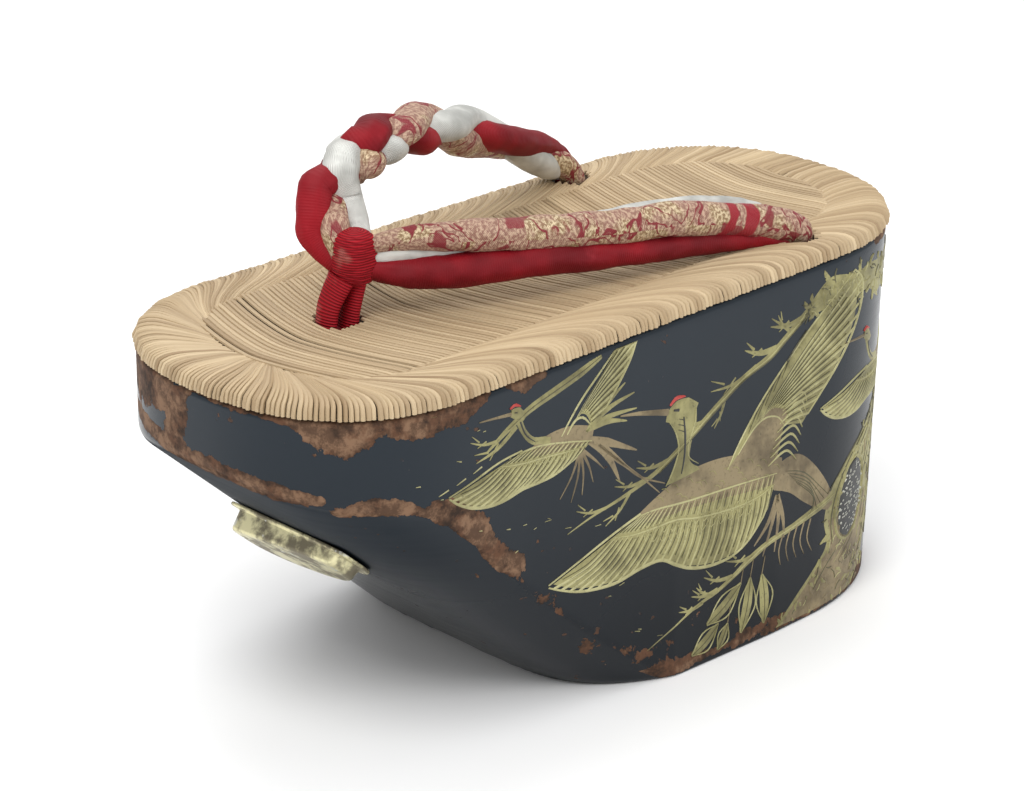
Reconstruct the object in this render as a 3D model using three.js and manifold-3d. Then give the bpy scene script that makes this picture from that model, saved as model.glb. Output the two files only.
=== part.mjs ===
// Okobo: a tall lacquered platform sandal with a woven footbed and a V strap.
// One shoe, the left of a pair, standing empty on its sole.
//
// Frame, in millimetres: the toe points to -Y, the heel to +Y, +X is the wearer's left
// (the outer side), +Z is up. The origin is on the floor under the middle of the length.

import * as THREE from 'three';
import { mergeVertices } from 'three/addons/utils/BufferGeometryUtils.js';
import Module from 'manifold-3d';

const wasm = await Module();
wasm.setup();

// Driving sizes of the block

const LENGTH = 230;
const TOE_Y = -LENGTH / 2;
const HEEL_Y = LENGTH / 2;
const RIM_TOE_Z = 96.4;
const RIM_HEEL_Z = 102.5;
const RIM_SLOPE = (RIM_HEEL_Z - RIM_TOE_Z) / LENGTH;
const RIM_ROUND = 1.5;
const RIM_SOFT = 0.45;
const FOOT_CHAMFER = 0.8;

// Plan outlines: half widths along the length, and the two round ends
const TOP_PLAN = {
  toeY: TOE_Y,
  heelY: HEEL_Y,
  toeArc: 45.5,
  toePower: 2.37,
  heelArc: 50,
  heelPower: 2.32,
  halfWidths: [
    { y: -115, half: 52.1 },
    { y: 115, half: 48.2 },
  ],
};
const FLOOR_PLAN = {
  toeY: TOE_Y,
  heelY: 111.7,
  toeArc: 45.5,
  toePower: 2.37,
  heelArc: 57,
  heelPower: 2.22,
  halfWidths: [
    { y: -115, half: 51.5 },
    { y: -50, half: 51.8 },
    { y: 0, half: 55.4 },
    { y: 40, half: 55 },
    { y: 115, half: 50.5 },
  ],
};

// Front slope: a hull that starts under the toe lip and lands behind the ball of the foot
const SLOPE_TOP = { y: TOE_Y, z: 77 };
const SLOPE_FOOT = { y: -27, z: 0 };
const SLOPE_RISES = [
  { y: -115, half: 51, rise: 22, power: 4.5 },
  { y: -70, half: 51, rise: 22, power: 4.5 },
  { y: -30, half: 54, rise: 23.5, power: 5.2 },
  { y: 0, half: 55.4, rise: 25, power: 6 },
];
const SLOPE_CUT = { fromY: TOE_Y - 6, toY: 24, below: -60, steps: 16 };
const SLOPE_CUT_ACROSS = [0, 11, 22, 31, 37, 42, 46, 50, 54, 58, 62];
const slopeAngle = Math.atan2(SLOPE_TOP.z - SLOPE_FOOT.z, SLOPE_FOOT.y - SLOPE_TOP.y);

// Hollow carved from below: walls at the floor, how much it narrows on the way up, and the
// roundness of its corners, where 2 is an ellipse
const HOLLOW = {
  frontY: -10,
  heelWall: 13,
  sideWall: 12,
  sideY: 40,
  ceilingZ: 68,
  draft: 3,
  cove: 5,
  cornerPower: 3.2,
};
const RING_STEPS = 40;

// Footbed mat
const SEAM = 0.3;
const MAT = { thick: 4, hem: 0.6, edgeRound: 6, crown: 2.1 };
const MAT_ROLL = [0, 0.15, 0.4, 0.7, 1];

// Holes of the thong, leaning as they go down: the front one toward the toe, to come out under
// the metal cover, and the rear ones in to the hollow. x, y is the mouth on the mat; leanX and
// leanY are how far the axis moves between the mouth and the height of the hollow's roof.
const FRONT_HOLE = { x: -3.3, y: -65.7, radius: 5.8, leanX: 1.5, leanY: -9 };
const INNER_HOLE = { x: -40.5, y: 54, radius: 5.4, leanX: 9, leanY: 0 };
const OUTER_HOLE = { x: 36.5, y: 62.4, radius: 5.8, leanX: -7, leanY: 0 };
const KNOT_POCKET = { radius: 7.5, depth: 16 };
const CUT_PAST = 5;

// Metal cover of the front knot: a shallow half-moon box on a thin flange. Its straight side
// faces the toe; y is its widest line on the slope, up is toward the toe, down toward the floor.
const COVER = {
  x: 1.4,
  y: -83.6,
  halfWidth: 19.2,
  up: 5.6,
  upPower: 7,
  down: 13.5,
  downPower: 2.6,
  flangeX: 3.2,
  flangeY: 1.4,
  taper: 0.3,
  sheet: 0.9,
  deepInner: 6.8,
  deepOuter: 4.2,
  edge: 1.2,
};

// Small helpers

const rimZ = (y) => RIM_TOE_Z + RIM_SLOPE * (y - TOE_Y);
const lerp = THREE.MathUtils.lerp;

// Straight interpolation of one column of a table whose rows are sorted by y
function along(table, y, column) {
  if (y <= table[0].y) return table[0][column];
  for (let i = 1; i < table.length; i += 1) {
    const [a, b] = [table[i - 1], table[i]];
    if (y <= b.y) return lerp(a[column], b[column], (y - a.y) / (b.y - a.y));
  }
  return table[table.length - 1][column];
}

// Points round a plan outline, counter-clockwise from the outer side of the toe arc
const ARC_STEPS = 22;
const SIDE_STEPS = 5;
function planOutline(plan, inset = 0) {
  const toeStart = plan.toeY + plan.toeArc;
  const heelStart = plan.heelY - plan.heelArc;
  const points = [];
  const arcPoint = (side, turn, start, arc, power, sign) => {
    const across = Math.cos(turn) ** (2 / power);
    const forward = Math.sin(turn) ** (2 / power);
    const y = start + sign * (arc - inset) * forward;
    points.push([side * (along(plan.halfWidths, y, 'half') - inset) * across, y]);
  };
  const sidePoint = (side, t) => {
    const y = lerp(toeStart, heelStart, t);
    points.push([side * (along(plan.halfWidths, y, 'half') - inset), y]);
  };
  const turnAt = (i) => (Math.PI / 2) * (i / ARC_STEPS);
  for (let i = 0; i <= SIDE_STEPS; i += 1) sidePoint(1, i / SIDE_STEPS);
  for (let i = 1; i < ARC_STEPS; i += 1) arcPoint(1, turnAt(i), heelStart, plan.heelArc, plan.heelPower, 1);
  points.push([0, plan.heelY - inset]);
  for (let i = ARC_STEPS - 1; i > 0; i -= 1) arcPoint(-1, turnAt(i), heelStart, plan.heelArc, plan.heelPower, 1);
  for (let i = SIDE_STEPS; i >= 0; i -= 1) sidePoint(-1, i / SIDE_STEPS);
  for (let i = 1; i < ARC_STEPS; i += 1) arcPoint(-1, turnAt(i), toeStart, plan.toeArc, plan.toePower, -1);
  points.push([0, plan.toeY + inset]);
  for (let i = ARC_STEPS - 1; i > 0; i -= 1) arcPoint(1, turnAt(i), toeStart, plan.toeArc, plan.toePower, -1);
  return points;
}

// A closed skin over a list of rings that have the same number of points
function loft(rings) {
  const count = rings[0].length;
  const vertices = rings.flat();
  const faces = [];
  for (let r = 0; r + 1 < rings.length; r += 1) {
    for (let i = 0; i < count; i += 1) {
      const j = (i + 1) % count;
      const [a, b] = [r * count + i, r * count + j];
      const [c, d] = [a + count, b + count];
      faces.push([a, b, d], [a, d, c]);
    }
  }
  for (const [ring, first, flip] of [[rings[0], 0, true], [rings.at(-1), (rings.length - 1) * count, false]]) {
    const centre = ring.reduce((sum, p) => sum.map((v, k) => v + p[k] / count), [0, 0, 0]);
    const hub = vertices.push(centre) - 1;
    for (let i = 0; i < count; i += 1) {
      const [a, b] = [first + i, first + ((i + 1) % count)];
      faces.push(flip ? [hub, b, a] : [hub, a, b]);
    }
  }
  const geometry = new THREE.BufferGeometry();
  geometry.setAttribute('position', new THREE.Float32BufferAttribute(vertices.flat(), 3));
  geometry.setIndex(faces.flat());
  return geometry;
}

// Solid for cutting and joining, from a closed three.js geometry
function solidOf(geometry) {
  const bare = geometry.clone();
  bare.deleteAttribute('normal');
  bare.deleteAttribute('uv');
  const merged = mergeVertices(bare, 1e-4);
  const vertProperties = new Float32Array(merged.attributes.position.array);
  const triVerts = new Uint32Array(merged.index.array);
  let volume = 0;
  const corner = (k) => new THREE.Vector3().fromArray(vertProperties, 3 * k);
  for (let i = 0; i < triVerts.length; i += 3) {
    const [a, b, c] = [corner(triVerts[i]), corner(triVerts[i + 1]), corner(triVerts[i + 2])];
    volume += a.dot(b.cross(c));
  }
  if (volume < 0) {
    for (let i = 0; i < triVerts.length; i += 3) {
      [triVerts[i], triVerts[i + 1]] = [triVerts[i + 1], triVerts[i]];
    }
  }
  return new wasm.Manifold(new wasm.Mesh({ numProp: 3, vertProperties, triVerts }));
}

function geometryOf(solid) {
  const mesh = solid.getMesh();
  const geometry = new THREE.BufferGeometry();
  const position = new Float32Array((mesh.vertProperties.length / mesh.numProp) * 3);
  for (let i = 0; i < position.length / 3; i += 1) {
    for (let k = 0; k < 3; k += 1) position[3 * i + k] = mesh.vertProperties[mesh.numProp * i + k];
  }
  geometry.setAttribute('position', new THREE.BufferAttribute(position, 3));
  geometry.setIndex(new THREE.BufferAttribute(new Uint32Array(mesh.triVerts), 1));
  return geometry;
}

// Round bar on the leaning axis of a thong hole, from one height to another
const HOLE_SIDES = 20;
const MOUTH_Z = 100;
function holeAt(hole, z) {
  const share = (MOUTH_Z - z) / (MOUTH_Z - HOLLOW.ceilingZ);
  return { x: hole.x + hole.leanX * share, y: hole.y + hole.leanY * share };
}
function holeBar(hole, fromZ, toZ) {
  const bar = new THREE.CylinderGeometry(hole.radius, hole.radius, toZ - fromZ, HOLE_SIDES);
  const drop = MOUTH_Z - HOLLOW.ceilingZ;
  const middle = holeAt(hole, (fromZ + toZ) / 2);
  bar.rotateX(Math.PI / 2);
  bar.applyMatrix4(new THREE.Matrix4().makeShear(0, 0, 0, 0, -hole.leanX / drop, -hole.leanY / drop));
  bar.translate(middle.x, middle.y, (fromZ + toZ) / 2);
  return solidOf(bar);
}

// Block

// Height of the front slope: straight on the middle line, curling up to the sides like a hull
function slopeZ(x, y) {
  const middle = SLOPE_TOP.z - Math.tan(slopeAngle) * (y - SLOPE_TOP.y);
  const reach = Math.abs(x) / along(SLOPE_RISES, y, 'half');
  return middle + along(SLOPE_RISES, y, 'rise') * reach ** along(SLOPE_RISES, y, 'power');
}

// Everything in front of and below the slope
function slopeCutter() {
  const across = [...SLOPE_CUT_ACROSS.slice(1).map((x) => -x).reverse(), ...SLOPE_CUT_ACROSS];
  const rings = Array.from({ length: SLOPE_CUT.steps + 1 }, (_, i) => {
    const y = lerp(SLOPE_CUT.fromY, SLOPE_CUT.toY, i / SLOPE_CUT.steps);
    const top = across.map((x) => [x, y, slopeZ(x, y)]);
    return [...top, [across.at(-1), y, SLOPE_CUT.below], [across[0], y, SLOPE_CUT.below]];
  });
  return solidOf(loft(rings));
}

function blockBody() {
  const floor = planOutline(FLOOR_PLAN);
  const floorIn = planOutline(FLOOR_PLAN, FOOT_CHAMFER);
  const top = planOutline(TOP_PLAN);
  const topSoft = planOutline(TOP_PLAN, RIM_SOFT);
  const topIn = planOutline(TOP_PLAN, RIM_ROUND);
  return solidOf(loft([
    floorIn.map(([x, y]) => [x, y, 0]),
    floor.map(([x, y]) => [x, y, FOOT_CHAMFER]),
    top.map(([x, y]) => [x, y, rimZ(y) - RIM_ROUND]),
    topSoft.map(([x, y]) => [x, y, rimZ(y) - RIM_SOFT]),
    topIn.map(([x, y]) => [x, y, rimZ(y)]),
  ]));
}

// Hollow with round corners, a little narrower at its ceiling
function hollowCutter() {
  const heelY = FLOOR_PLAN.heelY - HOLLOW.heelWall;
  const half = along(FLOOR_PLAN.halfWidths, HOLLOW.sideY, 'half') - HOLLOW.sideWall;
  const middleY = (HOLLOW.frontY + heelY) / 2;
  const reach = (heelY - HOLLOW.frontY) / 2;
  const bend = (value) => Math.sign(value) * Math.abs(value) ** (2 / HOLLOW.cornerPower);
  const ring = (z, inset) => Array.from({ length: RING_STEPS }, (_, i) => {
    const turn = (2 * Math.PI * i) / RING_STEPS;
    return [(half - inset) * bend(Math.cos(turn)), middleY + (reach - inset) * bend(Math.sin(turn)), z];
  });
  return solidOf(loft([
    ring(-CUT_PAST, 0),
    ring(HOLLOW.ceilingZ - HOLLOW.cove, HOLLOW.draft),
    ring(HOLLOW.ceilingZ, HOLLOW.draft + HOLLOW.cove),
  ]));
}

// Where the front hole comes out of the slope, and the roof of the pocket for its knot
const FRONT_EXIT_Z = 47;
const knotPocketTop = FRONT_EXIT_Z + KNOT_POCKET.depth;

function makeBlock(strapRoom) {
  return blockBody()
    .subtract(slopeCutter())
    .subtract(hollowCutter())
    .subtract(holeBar(FRONT_HOLE, 0, RIM_HEEL_Z + CUT_PAST))
    .subtract(holeBar({ ...FRONT_HOLE, radius: KNOT_POCKET.radius }, 0, knotPocketTop))
    .subtract(holeBar(INNER_HOLE, HOLLOW.ceilingZ - CUT_PAST, RIM_HEEL_Z + CUT_PAST))
    .subtract(holeBar(OUTER_HOLE, HOLLOW.ceilingZ - CUT_PAST, RIM_HEEL_Z + CUT_PAST))
    .subtract(strapRoom);
}

// Footbed

// Rows of the rolled edge: distance in from the edge and height above the mat's underside
const matTopZ = (y, inFromEdge) => {
  const roll = THREE.MathUtils.clamp(1 - inFromEdge / MAT.edgeRound, 0, 1);
  return rimZ(y) + SEAM + MAT.thick - MAT.crown * (1 - Math.sqrt(1 - roll * roll));
};

function makeFootbed(strapRoom) {
  const under = planOutline(TOP_PLAN, MAT.hem).map(([x, y]) => [x, y, rimZ(y) + SEAM]);
  const edge = planOutline(TOP_PLAN).map(([x, y]) => [x, y, rimZ(y) + SEAM + MAT.hem]);
  const upper = MAT_ROLL.map((share) => {
    const inFromEdge = share * MAT.edgeRound;
    return planOutline(TOP_PLAN, inFromEdge).map(([x, y]) => [x, y, matTopZ(y, inFromEdge)]);
  });
  let mat = solidOf(loft([under, edge, ...upper]));
  for (const hole of [FRONT_HOLE, INNER_HOLE, OUTER_HOLE]) {
    mat = mat.subtract(holeBar(hole, RIM_TOE_Z - CUT_PAST, RIM_HEEL_Z + MAT.thick + CUT_PAST));
  }
  return mat.subtract(strapRoom);
}

// Strap

// A cord: a round section swept along a smooth line through rows of x, y, z and radius r,
// widened all round, and at its ends, by grow. A flat band is wide along X and thinner by flat.
function cord(rows, { sides = 8, steps = 20, flat = 1, grow = 0 } = {}) {
  const line = new THREE.CatmullRomCurve3(rows.map((p) => new THREE.Vector3(p.x, p.y, p.z)));
  const frames = line.computeFrenetFrames(steps, false);
  const rings = [];
  for (let i = 0; i <= steps; i += 1) {
    const u = i / steps;
    const tangent = frames.tangents[i];
    const past = i === 0 ? -grow : i === steps ? grow : 0;
    const centre = line.getPointAt(u).addScaledVector(tangent, past);
    const across = flat < 1 ? new THREE.Vector3(1, 0, 0) : frames.normals[i];
    const other = tangent.clone().cross(across).normalize();
    const radius = between(rows, line.getUtoTmapping(u), 'r');
    rings.push(Array.from({ length: sides }, (_, k) => {
      const turn = (2 * Math.PI * k) / sides;
      return centre.clone()
        .addScaledVector(across, (radius + grow) * Math.cos(turn))
        .addScaledVector(other, (radius * flat + grow) * Math.sin(turn))
        .toArray();
    }));
  }
  return solidOf(loft(rings));
}

// One column of a list of rows at a share of its length, 0 to 1
function between(rows, share, column) {
  const at = share * (rows.length - 1);
  const row = Math.min(Math.floor(at), rows.length - 2);
  return lerp(rows[row][column], rows[row + 1][column], at - row);
}

// Middle line of the inner arm's plait. spread is how far its strands swing to each side,
// phase is how far the plait has gone in degrees, slack is how far the red strand hangs out.
const INNER_ARM = [
  { x: -2.6, y: -61, z: 117, r: 2, spread: 1.6, phase: -160, slack: 2.5 },
  { x: -7.2, y: -59.6, z: 124.5, r: 3.1, spread: 3.2, phase: -140, slack: 9.5 },
  { x: -12.2, y: -56, z: 132, r: 3.3, spread: 3.2, phase: -100, slack: 9.8 },
  { x: -16, y: -49.5, z: 138.6, r: 3.5, spread: 2.9, phase: 0, slack: 2 },
  { x: -18.8, y: -34.5, z: 141.8, r: 3.5, spread: 2.6, phase: 180, slack: 0 },
  { x: -25.5, y: -14, z: 138.2, r: 3.4, spread: 2.6, phase: 305, slack: 0 },
  { x: -33, y: 7, z: 130.6, r: 3.4, spread: 2.6, phase: 405, slack: 0 },
  { x: -38, y: 27, z: 121.8, r: 3.4, spread: 2.5, phase: 450, slack: 0 },
  { x: -40.8, y: 43, z: 113.8, r: 3.2, spread: 2.3, phase: 505, slack: 0 },
  { x: -41, y: 51.2, z: 108.2, r: 2.8, spread: 2, phase: 560, slack: 0 },
  { x: -40.2, y: 54, z: 99.5, r: 2.5, spread: 1.9, phase: 600, slack: 0 },
  { x: -37.8, y: 54, z: 90, r: 2.5, spread: 1.9, phase: 610, slack: 0 },
];
const PLAIT_LAG = { brocade: -150, silver: 90, red: -30 };
const PLAIT_DEPTH = 0.95;
const PLAIT_STEPS = 36;
const PLAIT_RINGS = 46;
const ARM_FACE = new THREE.Vector3(0.76, -0.64, 0);

// Strands of the outer arm, side by side
const OUTER_STRANDS = {
  brocade: [
    { x: -0.6, y: -60.5, z: 121.4, r: 1.8 },
    { x: 5, y: -51.5, z: 123.2, r: 2.8 },
    { x: 11, y: -39.6, z: 123.2, r: 3.6 },
    { x: 19, y: -19, z: 121.2, r: 3.9 },
    { x: 25.6, y: 3.4, z: 119.3, r: 3.9 },
    { x: 30, y: 23, z: 118.6, r: 3.8 },
    { x: 33.6, y: 43.8, z: 115.2, r: 3.7 },
    { x: 35.2, y: 57.5, z: 110.2, r: 3.5 },
    { x: OUTER_HOLE.x, y: OUTER_HOLE.y + 2.6, z: 101.5, r: 2.8 },
    { x: OUTER_HOLE.x - 2, y: OUTER_HOLE.y + 2.4, z: 90, r: 2.6 },
  ],
  silver: [
    { x: -1.2, y: -61, z: 118.6, r: 1.8 },
    { x: 4.6, y: -51.5, z: 118.8, r: 2.4 },
    { x: 9.4, y: -39.6, z: 118.6, r: 2.8 },
    { x: 15.2, y: -20, z: 118.4, r: 3 },
    { x: 21, y: 3, z: 118.2, r: 3.1 },
    { x: 25.2, y: 22, z: 118.4, r: 3.1 },
    { x: 28.8, y: 42.9, z: 116, r: 3.1 },
    { x: 31.4, y: 55, z: 111.6, r: 3 },
    { x: OUTER_HOLE.x - 2.6, y: OUTER_HOLE.y - 1, z: 102.5, r: 2.7 },
    { x: OUTER_HOLE.x - 4.2, y: OUTER_HOLE.y - 1, z: 90, r: 2.6 },
  ],
  red: [
    { x: -0.8, y: -60.6, z: 115.8, r: 2 },
    { x: 5.6, y: -51.5, z: 114.4, r: 3.8 },
    { x: 11.7, y: -40.3, z: 113.6, r: 4.3 },
    { x: 19.4, y: -19.8, z: 114, r: 4.2 },
    { x: 25.8, y: 2, z: 113, r: 4 },
    { x: 30.4, y: 21, z: 112, r: 3.9 },
    { x: 34, y: 41, z: 109, r: 3.7 },
    { x: 36.2, y: 53, z: 106.2, r: 3.3 },
    { x: OUTER_HOLE.x + 1.8, y: OUTER_HOLE.y - 2.2, z: 101.5, r: 2.7 },
    { x: OUTER_HOLE.x - 0.6, y: OUTER_HOLE.y - 2, z: 90, r: 2.6 },
  ],
};

// One strand of the plait: it swings in and out once, and to and fro twice, in each turn
function plaitedRows(name) {
  const line = new THREE.CatmullRomCurve3(INNER_ARM.map((p) => new THREE.Vector3(p.x, p.y, p.z)));
  return Array.from({ length: PLAIT_STEPS + 1 }, (_, i) => {
    const share = i / PLAIT_STEPS;
    const tangent = line.getTangent(share);
    const face = ARM_FACE.clone().addScaledVector(tangent, -ARM_FACE.dot(tangent)).normalize();
    const outward = face.clone().cross(tangent);
    const turn = THREE.MathUtils.degToRad(between(INNER_ARM, share, 'phase') + PLAIT_LAG[name]);
    const spread = between(INNER_ARM, share, 'spread');
    const slack = name === 'red' ? between(INNER_ARM, share, 'slack') : 0;
    const centre = line.getPoint(share)
      .addScaledVector(outward, spread * Math.sin(turn) + slack)
      .addScaledVector(face, PLAIT_DEPTH * spread * Math.sin(2 * turn));
    return { x: centre.x, y: centre.y, z: centre.z, r: between(INNER_ARM, share, 'r') };
  });
}

// Knot under a rear hole, in the roof of the hollow
const KNOT = { radius: 8, halfHeight: 5 };
const TAIL = { loose: 0.6, belowRoof: 6, belowTop: 1 };
function rearKnot(hole) {
  const ball = new THREE.SphereGeometry(KNOT.radius, 12, 8);
  ball.scale(1, 1, KNOT.halfHeight / KNOT.radius);
  const z = HOLLOW.ceilingZ - SEAM - KNOT.halfHeight;
  ball.translate(holeAt(hole, z).x, hole.y, z);
  return solidOf(ball);
}

// Both arms with their tails and knots; grow gives the same cords widened, to cut room for them
function makeStrap(grow = 0) {
  const pieces = Object.keys(PLAIT_LAG).map((name) => cord(plaitedRows(name), { steps: PLAIT_RINGS, grow }));
  for (const rows of Object.values(OUTER_STRANDS)) pieces.push(cord(rows, { grow }));
  for (const hole of [INNER_HOLE, OUTER_HOLE]) {
    const tail = { ...hole, radius: hole.radius - TAIL.loose + grow };
    const topZ = rimZ(hole.y) + MAT.thick - TAIL.belowTop;
    pieces.push(holeBar(tail, HOLLOW.ceilingZ - TAIL.belowRoof, topZ));
    if (grow === 0) pieces.push(rearKnot(hole));
  }
  return pieces.reduce((whole, piece) => whole.add(piece));
}

// Toe thong

// Two flat legs of the doubled band and the wrap round the meeting of the arms
const THONG_LEGS = {
  front: [
    { x: -4, y: -69.4, z: 94, r: 3 },
    { x: -4.2, y: -68.8, z: 101.5, r: 3 },
    { x: -4.2, y: -67.4, z: 107, r: 3.1 },
    { x: -3, y: -64, z: 113, r: 3.6 },
  ],
  rear: [
    { x: -2.9, y: -63.8, z: 94, r: 3 },
    { x: -2.6, y: -62.6, z: 101.5, r: 3 },
    { x: -2.4, y: -61.8, z: 107, r: 3.1 },
    { x: -2, y: -60.6, z: 113, r: 3.6 },
  ],
};
const WRAP = { x: -2.2, y: -61, z: 118.4, halfX: 5.8, halfY: 5.6, halfZ: 7.6 };
const FRONT_KNOT = { loose: 1, height: 6 };
const LEG = { steps: 8, flat: 0.5 };

function makeToeThong(strapRoom) {
  const wrap = new THREE.SphereGeometry(1, 18, 12);
  wrap.scale(WRAP.halfX, WRAP.halfY, WRAP.halfZ);
  wrap.translate(WRAP.x, WRAP.y, WRAP.z);
  const tail = { ...FRONT_HOLE, radius: FRONT_HOLE.radius - SEAM };
  const knot = { ...FRONT_HOLE, radius: KNOT_POCKET.radius - FRONT_KNOT.loose };
  return solidOf(wrap)
    .add(cord(THONG_LEGS.front, LEG))
    .add(cord(THONG_LEGS.rear, LEG))
    .add(holeBar(tail, knotPocketTop - FRONT_KNOT.height, rimZ(FRONT_HOLE.y) + MAT.thick))
    .add(holeBar(knot, knotPocketTop - FRONT_KNOT.height, knotPocketTop - SEAM))
    .subtract(strapRoom);
}

// Metal cover

// Half-moon outline, grown across and along, at a height that may fall across the width
function coverRing(growX, growY, heightAt) {
  return Array.from({ length: RING_STEPS }, (_, i) => {
    const turn = (2 * Math.PI * (i + 0.5)) / RING_STEPS;
    const [c, sn] = [Math.cos(turn), Math.sin(turn)];
    const power = sn > 0 ? COVER.upPower : COVER.downPower;
    const reach = sn > 0 ? COVER.up : COVER.down;
    const x = (COVER.halfWidth + growX) * Math.sign(c) * Math.abs(c) ** (2 / power);
    return [x, (reach + growY) * Math.sign(sn) * Math.abs(sn) ** (2 / power), heightAt(x)];
  });
}

function makeCover() {
  const { halfWidth, flangeX, flangeY, taper, sheet, edge } = COVER;
  const depthAt = (x) => lerp(COVER.deepInner, COVER.deepOuter, (x / halfWidth + 1) / 2);
  const plate = (z) => coverRing(flangeX, flangeY, () => z);
  const flange = solidOf(loft([plate(0), plate(sheet)]));
  const box = solidOf(loft([
    coverRing(0, 0, () => sheet / 2),
    coverRing(-taper, -taper, (x) => depthAt(x) - edge),
    coverRing(-edge, -edge, depthAt),
  ]));
  const inside = solidOf(loft([
    coverRing(-sheet, -sheet, () => -sheet),
    coverRing(-sheet - edge, -sheet - edge, (x) => depthAt(x) - sheet),
  ]));
  return flange.add(box).subtract(inside);
}

// Lay the cover on the slope: its own +Z points out of the slope and its +Y up the slope
function placeCover(mesh) {
  mesh.rotation.x = Math.PI - slopeAngle;
  const outward = new THREE.Vector3(0, -Math.sin(slopeAngle), -Math.cos(slopeAngle));
  mesh.position.set(COVER.x, COVER.y, slopeZ(0, COVER.y)).addScaledVector(outward, SEAM);
}

// Assembly

const okobo = new THREE.Group();

function addPiece(name, solid, look) {
  const mesh = new THREE.Mesh(geometryOf(solid), new THREE.MeshStandardMaterial(look));
  mesh.name = name;
  okobo.add(mesh);
  return mesh;
}

const strapRoom = makeStrap(SEAM);

addPiece('block', makeBlock(strapRoom), { color: 0x1d2126, roughness: 0.22, metalness: 0 });
addPiece('footbed', makeFootbed(strapRoom), { color: 0xd0b78c, roughness: 0.6, metalness: 0 });
addPiece('strap', makeStrap(), { color: 0xa8323a, roughness: 0.7, metalness: 0 });
addPiece('toe_thong', makeToeThong(strapRoom), { color: 0xb01424, roughness: 0.7, metalness: 0 });
placeCover(addPiece('toe_knot_cover', makeCover(), { color: 0xc9bf7e, roughness: 0.35, metalness: 0.9 }));

export default okobo;
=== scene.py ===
# %% [markdown]
# # An okobo, dressed over its own frame
#
# This lesson finishes one tall lacquered platform sandal. The construction model gives the true
# sizes, and every piece here is made in the same frame: the toe points to -Y, the heel to +Y,
# +X is the outer side, and the floor is at z = 0. We load that frame first and keep its box.

# %% Load the frame
import math
import random

import bmesh
import bpy
from mathutils import Matrix, Vector, noise


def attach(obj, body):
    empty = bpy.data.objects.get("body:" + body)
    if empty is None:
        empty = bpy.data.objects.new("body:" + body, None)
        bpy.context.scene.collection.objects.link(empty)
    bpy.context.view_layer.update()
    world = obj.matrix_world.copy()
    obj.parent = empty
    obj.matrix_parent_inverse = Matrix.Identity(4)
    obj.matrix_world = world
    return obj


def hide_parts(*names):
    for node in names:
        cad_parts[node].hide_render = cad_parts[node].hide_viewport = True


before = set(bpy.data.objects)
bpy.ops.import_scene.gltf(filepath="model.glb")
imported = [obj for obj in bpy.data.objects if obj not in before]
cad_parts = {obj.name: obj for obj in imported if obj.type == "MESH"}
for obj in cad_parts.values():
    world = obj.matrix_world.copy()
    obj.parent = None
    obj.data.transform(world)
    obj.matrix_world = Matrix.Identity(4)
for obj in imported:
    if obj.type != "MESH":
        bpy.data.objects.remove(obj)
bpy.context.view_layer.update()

print("frame nodes:", sorted(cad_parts))

# %% [markdown]
# ## The camera
#
# A camera that keeps its place and only turns sees the shoe at the same angle, so we stand where
# the photograph was taken and aim at the one shoe, with a longer lens to fill the picture.

# %% Stand the camera
MM = 0.001
EYE = Vector((634.2, -614.3, 413.9)) * MM
AIM = Vector((-7.5, 0, 62.7)) * MM
ROLL = math.radians(0.516)
LENS_MM = 123.3


def stand_camera():
    camera = bpy.data.objects.new("camera", bpy.data.cameras.new("camera"))
    bpy.context.collection.objects.link(camera)
    camera.data.lens = LENS_MM
    camera.data.clip_start = 0.05
    turn = (AIM - EYE).to_track_quat("-Z", "Y").to_matrix().to_4x4()
    camera.matrix_world = Matrix.Translation(EYE) @ turn @ Matrix.Rotation(ROLL, 4, "Z")
    bpy.context.scene.camera = camera
    print("camera at", tuple(round(c, 3) for c in camera.location))


stand_camera()

# %% [markdown]
# ## The outline of the block
#
# Seen from above, the block has two rounded ends, drawn as quarter superellipses, joined by
# nearly straight sides. One number says where we are: the girth, measured in millimetres along
# the top edge from the tip of the toe, positive on the outer side and negative on the inner.

# %% Plan outlines
LENGTH = 230.0
TOE_Y, HEEL_Y = -LENGTH / 2, LENGTH / 2
RIM_TOE_Z, RIM_HEEL_Z = 96.4, 102.5
RIM_ROUND = 1.5
FLOOR_PLAN_Z = 0.8
TOP_PLAN = {"toe": -115.0, "heel": 115.0, "toe_arc": 45.5, "toe_power": 2.37, "heel_arc": 50.0,
            "heel_power": 2.32, "half": ((-115, 52.1), (115, 48.2))}
FLOOR_PLAN = {"toe": -115.0, "heel": 111.7, "toe_arc": 45.5, "toe_power": 2.37, "heel_arc": 57.0,
              "heel_power": 2.22, "half": ((-115, 51.5), (-50, 51.8), (0, 55.4), (40, 55), (115, 50.5))}


def mix(a, b, share):
    return a + (b - a) * share


def soft_step(low, high, value):
    t = min(max((value - low) / (high - low), 0.0), 1.0)
    return t * t * (3 - 2 * t)


def squared(wave, power):
    """A sine or cosine pushed outward, which makes a superellipse of a circle."""
    return math.copysign(abs(wave) ** (2 / power), wave)


def read_table(rows, key):
    """Straight interpolation in rows of a key and its value."""
    if key <= rows[0][0]:
        return rows[0][1]
    for a, b in zip(rows, rows[1:]):
        if key <= b[0]:
            return mix(a[1], b[1], (key - a[0]) / (b[0] - a[0]))
    return rows[-1][1]


def rim_z(y):
    return mix(RIM_TOE_Z, RIM_HEEL_Z, (y - TOE_Y) / LENGTH)


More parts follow.
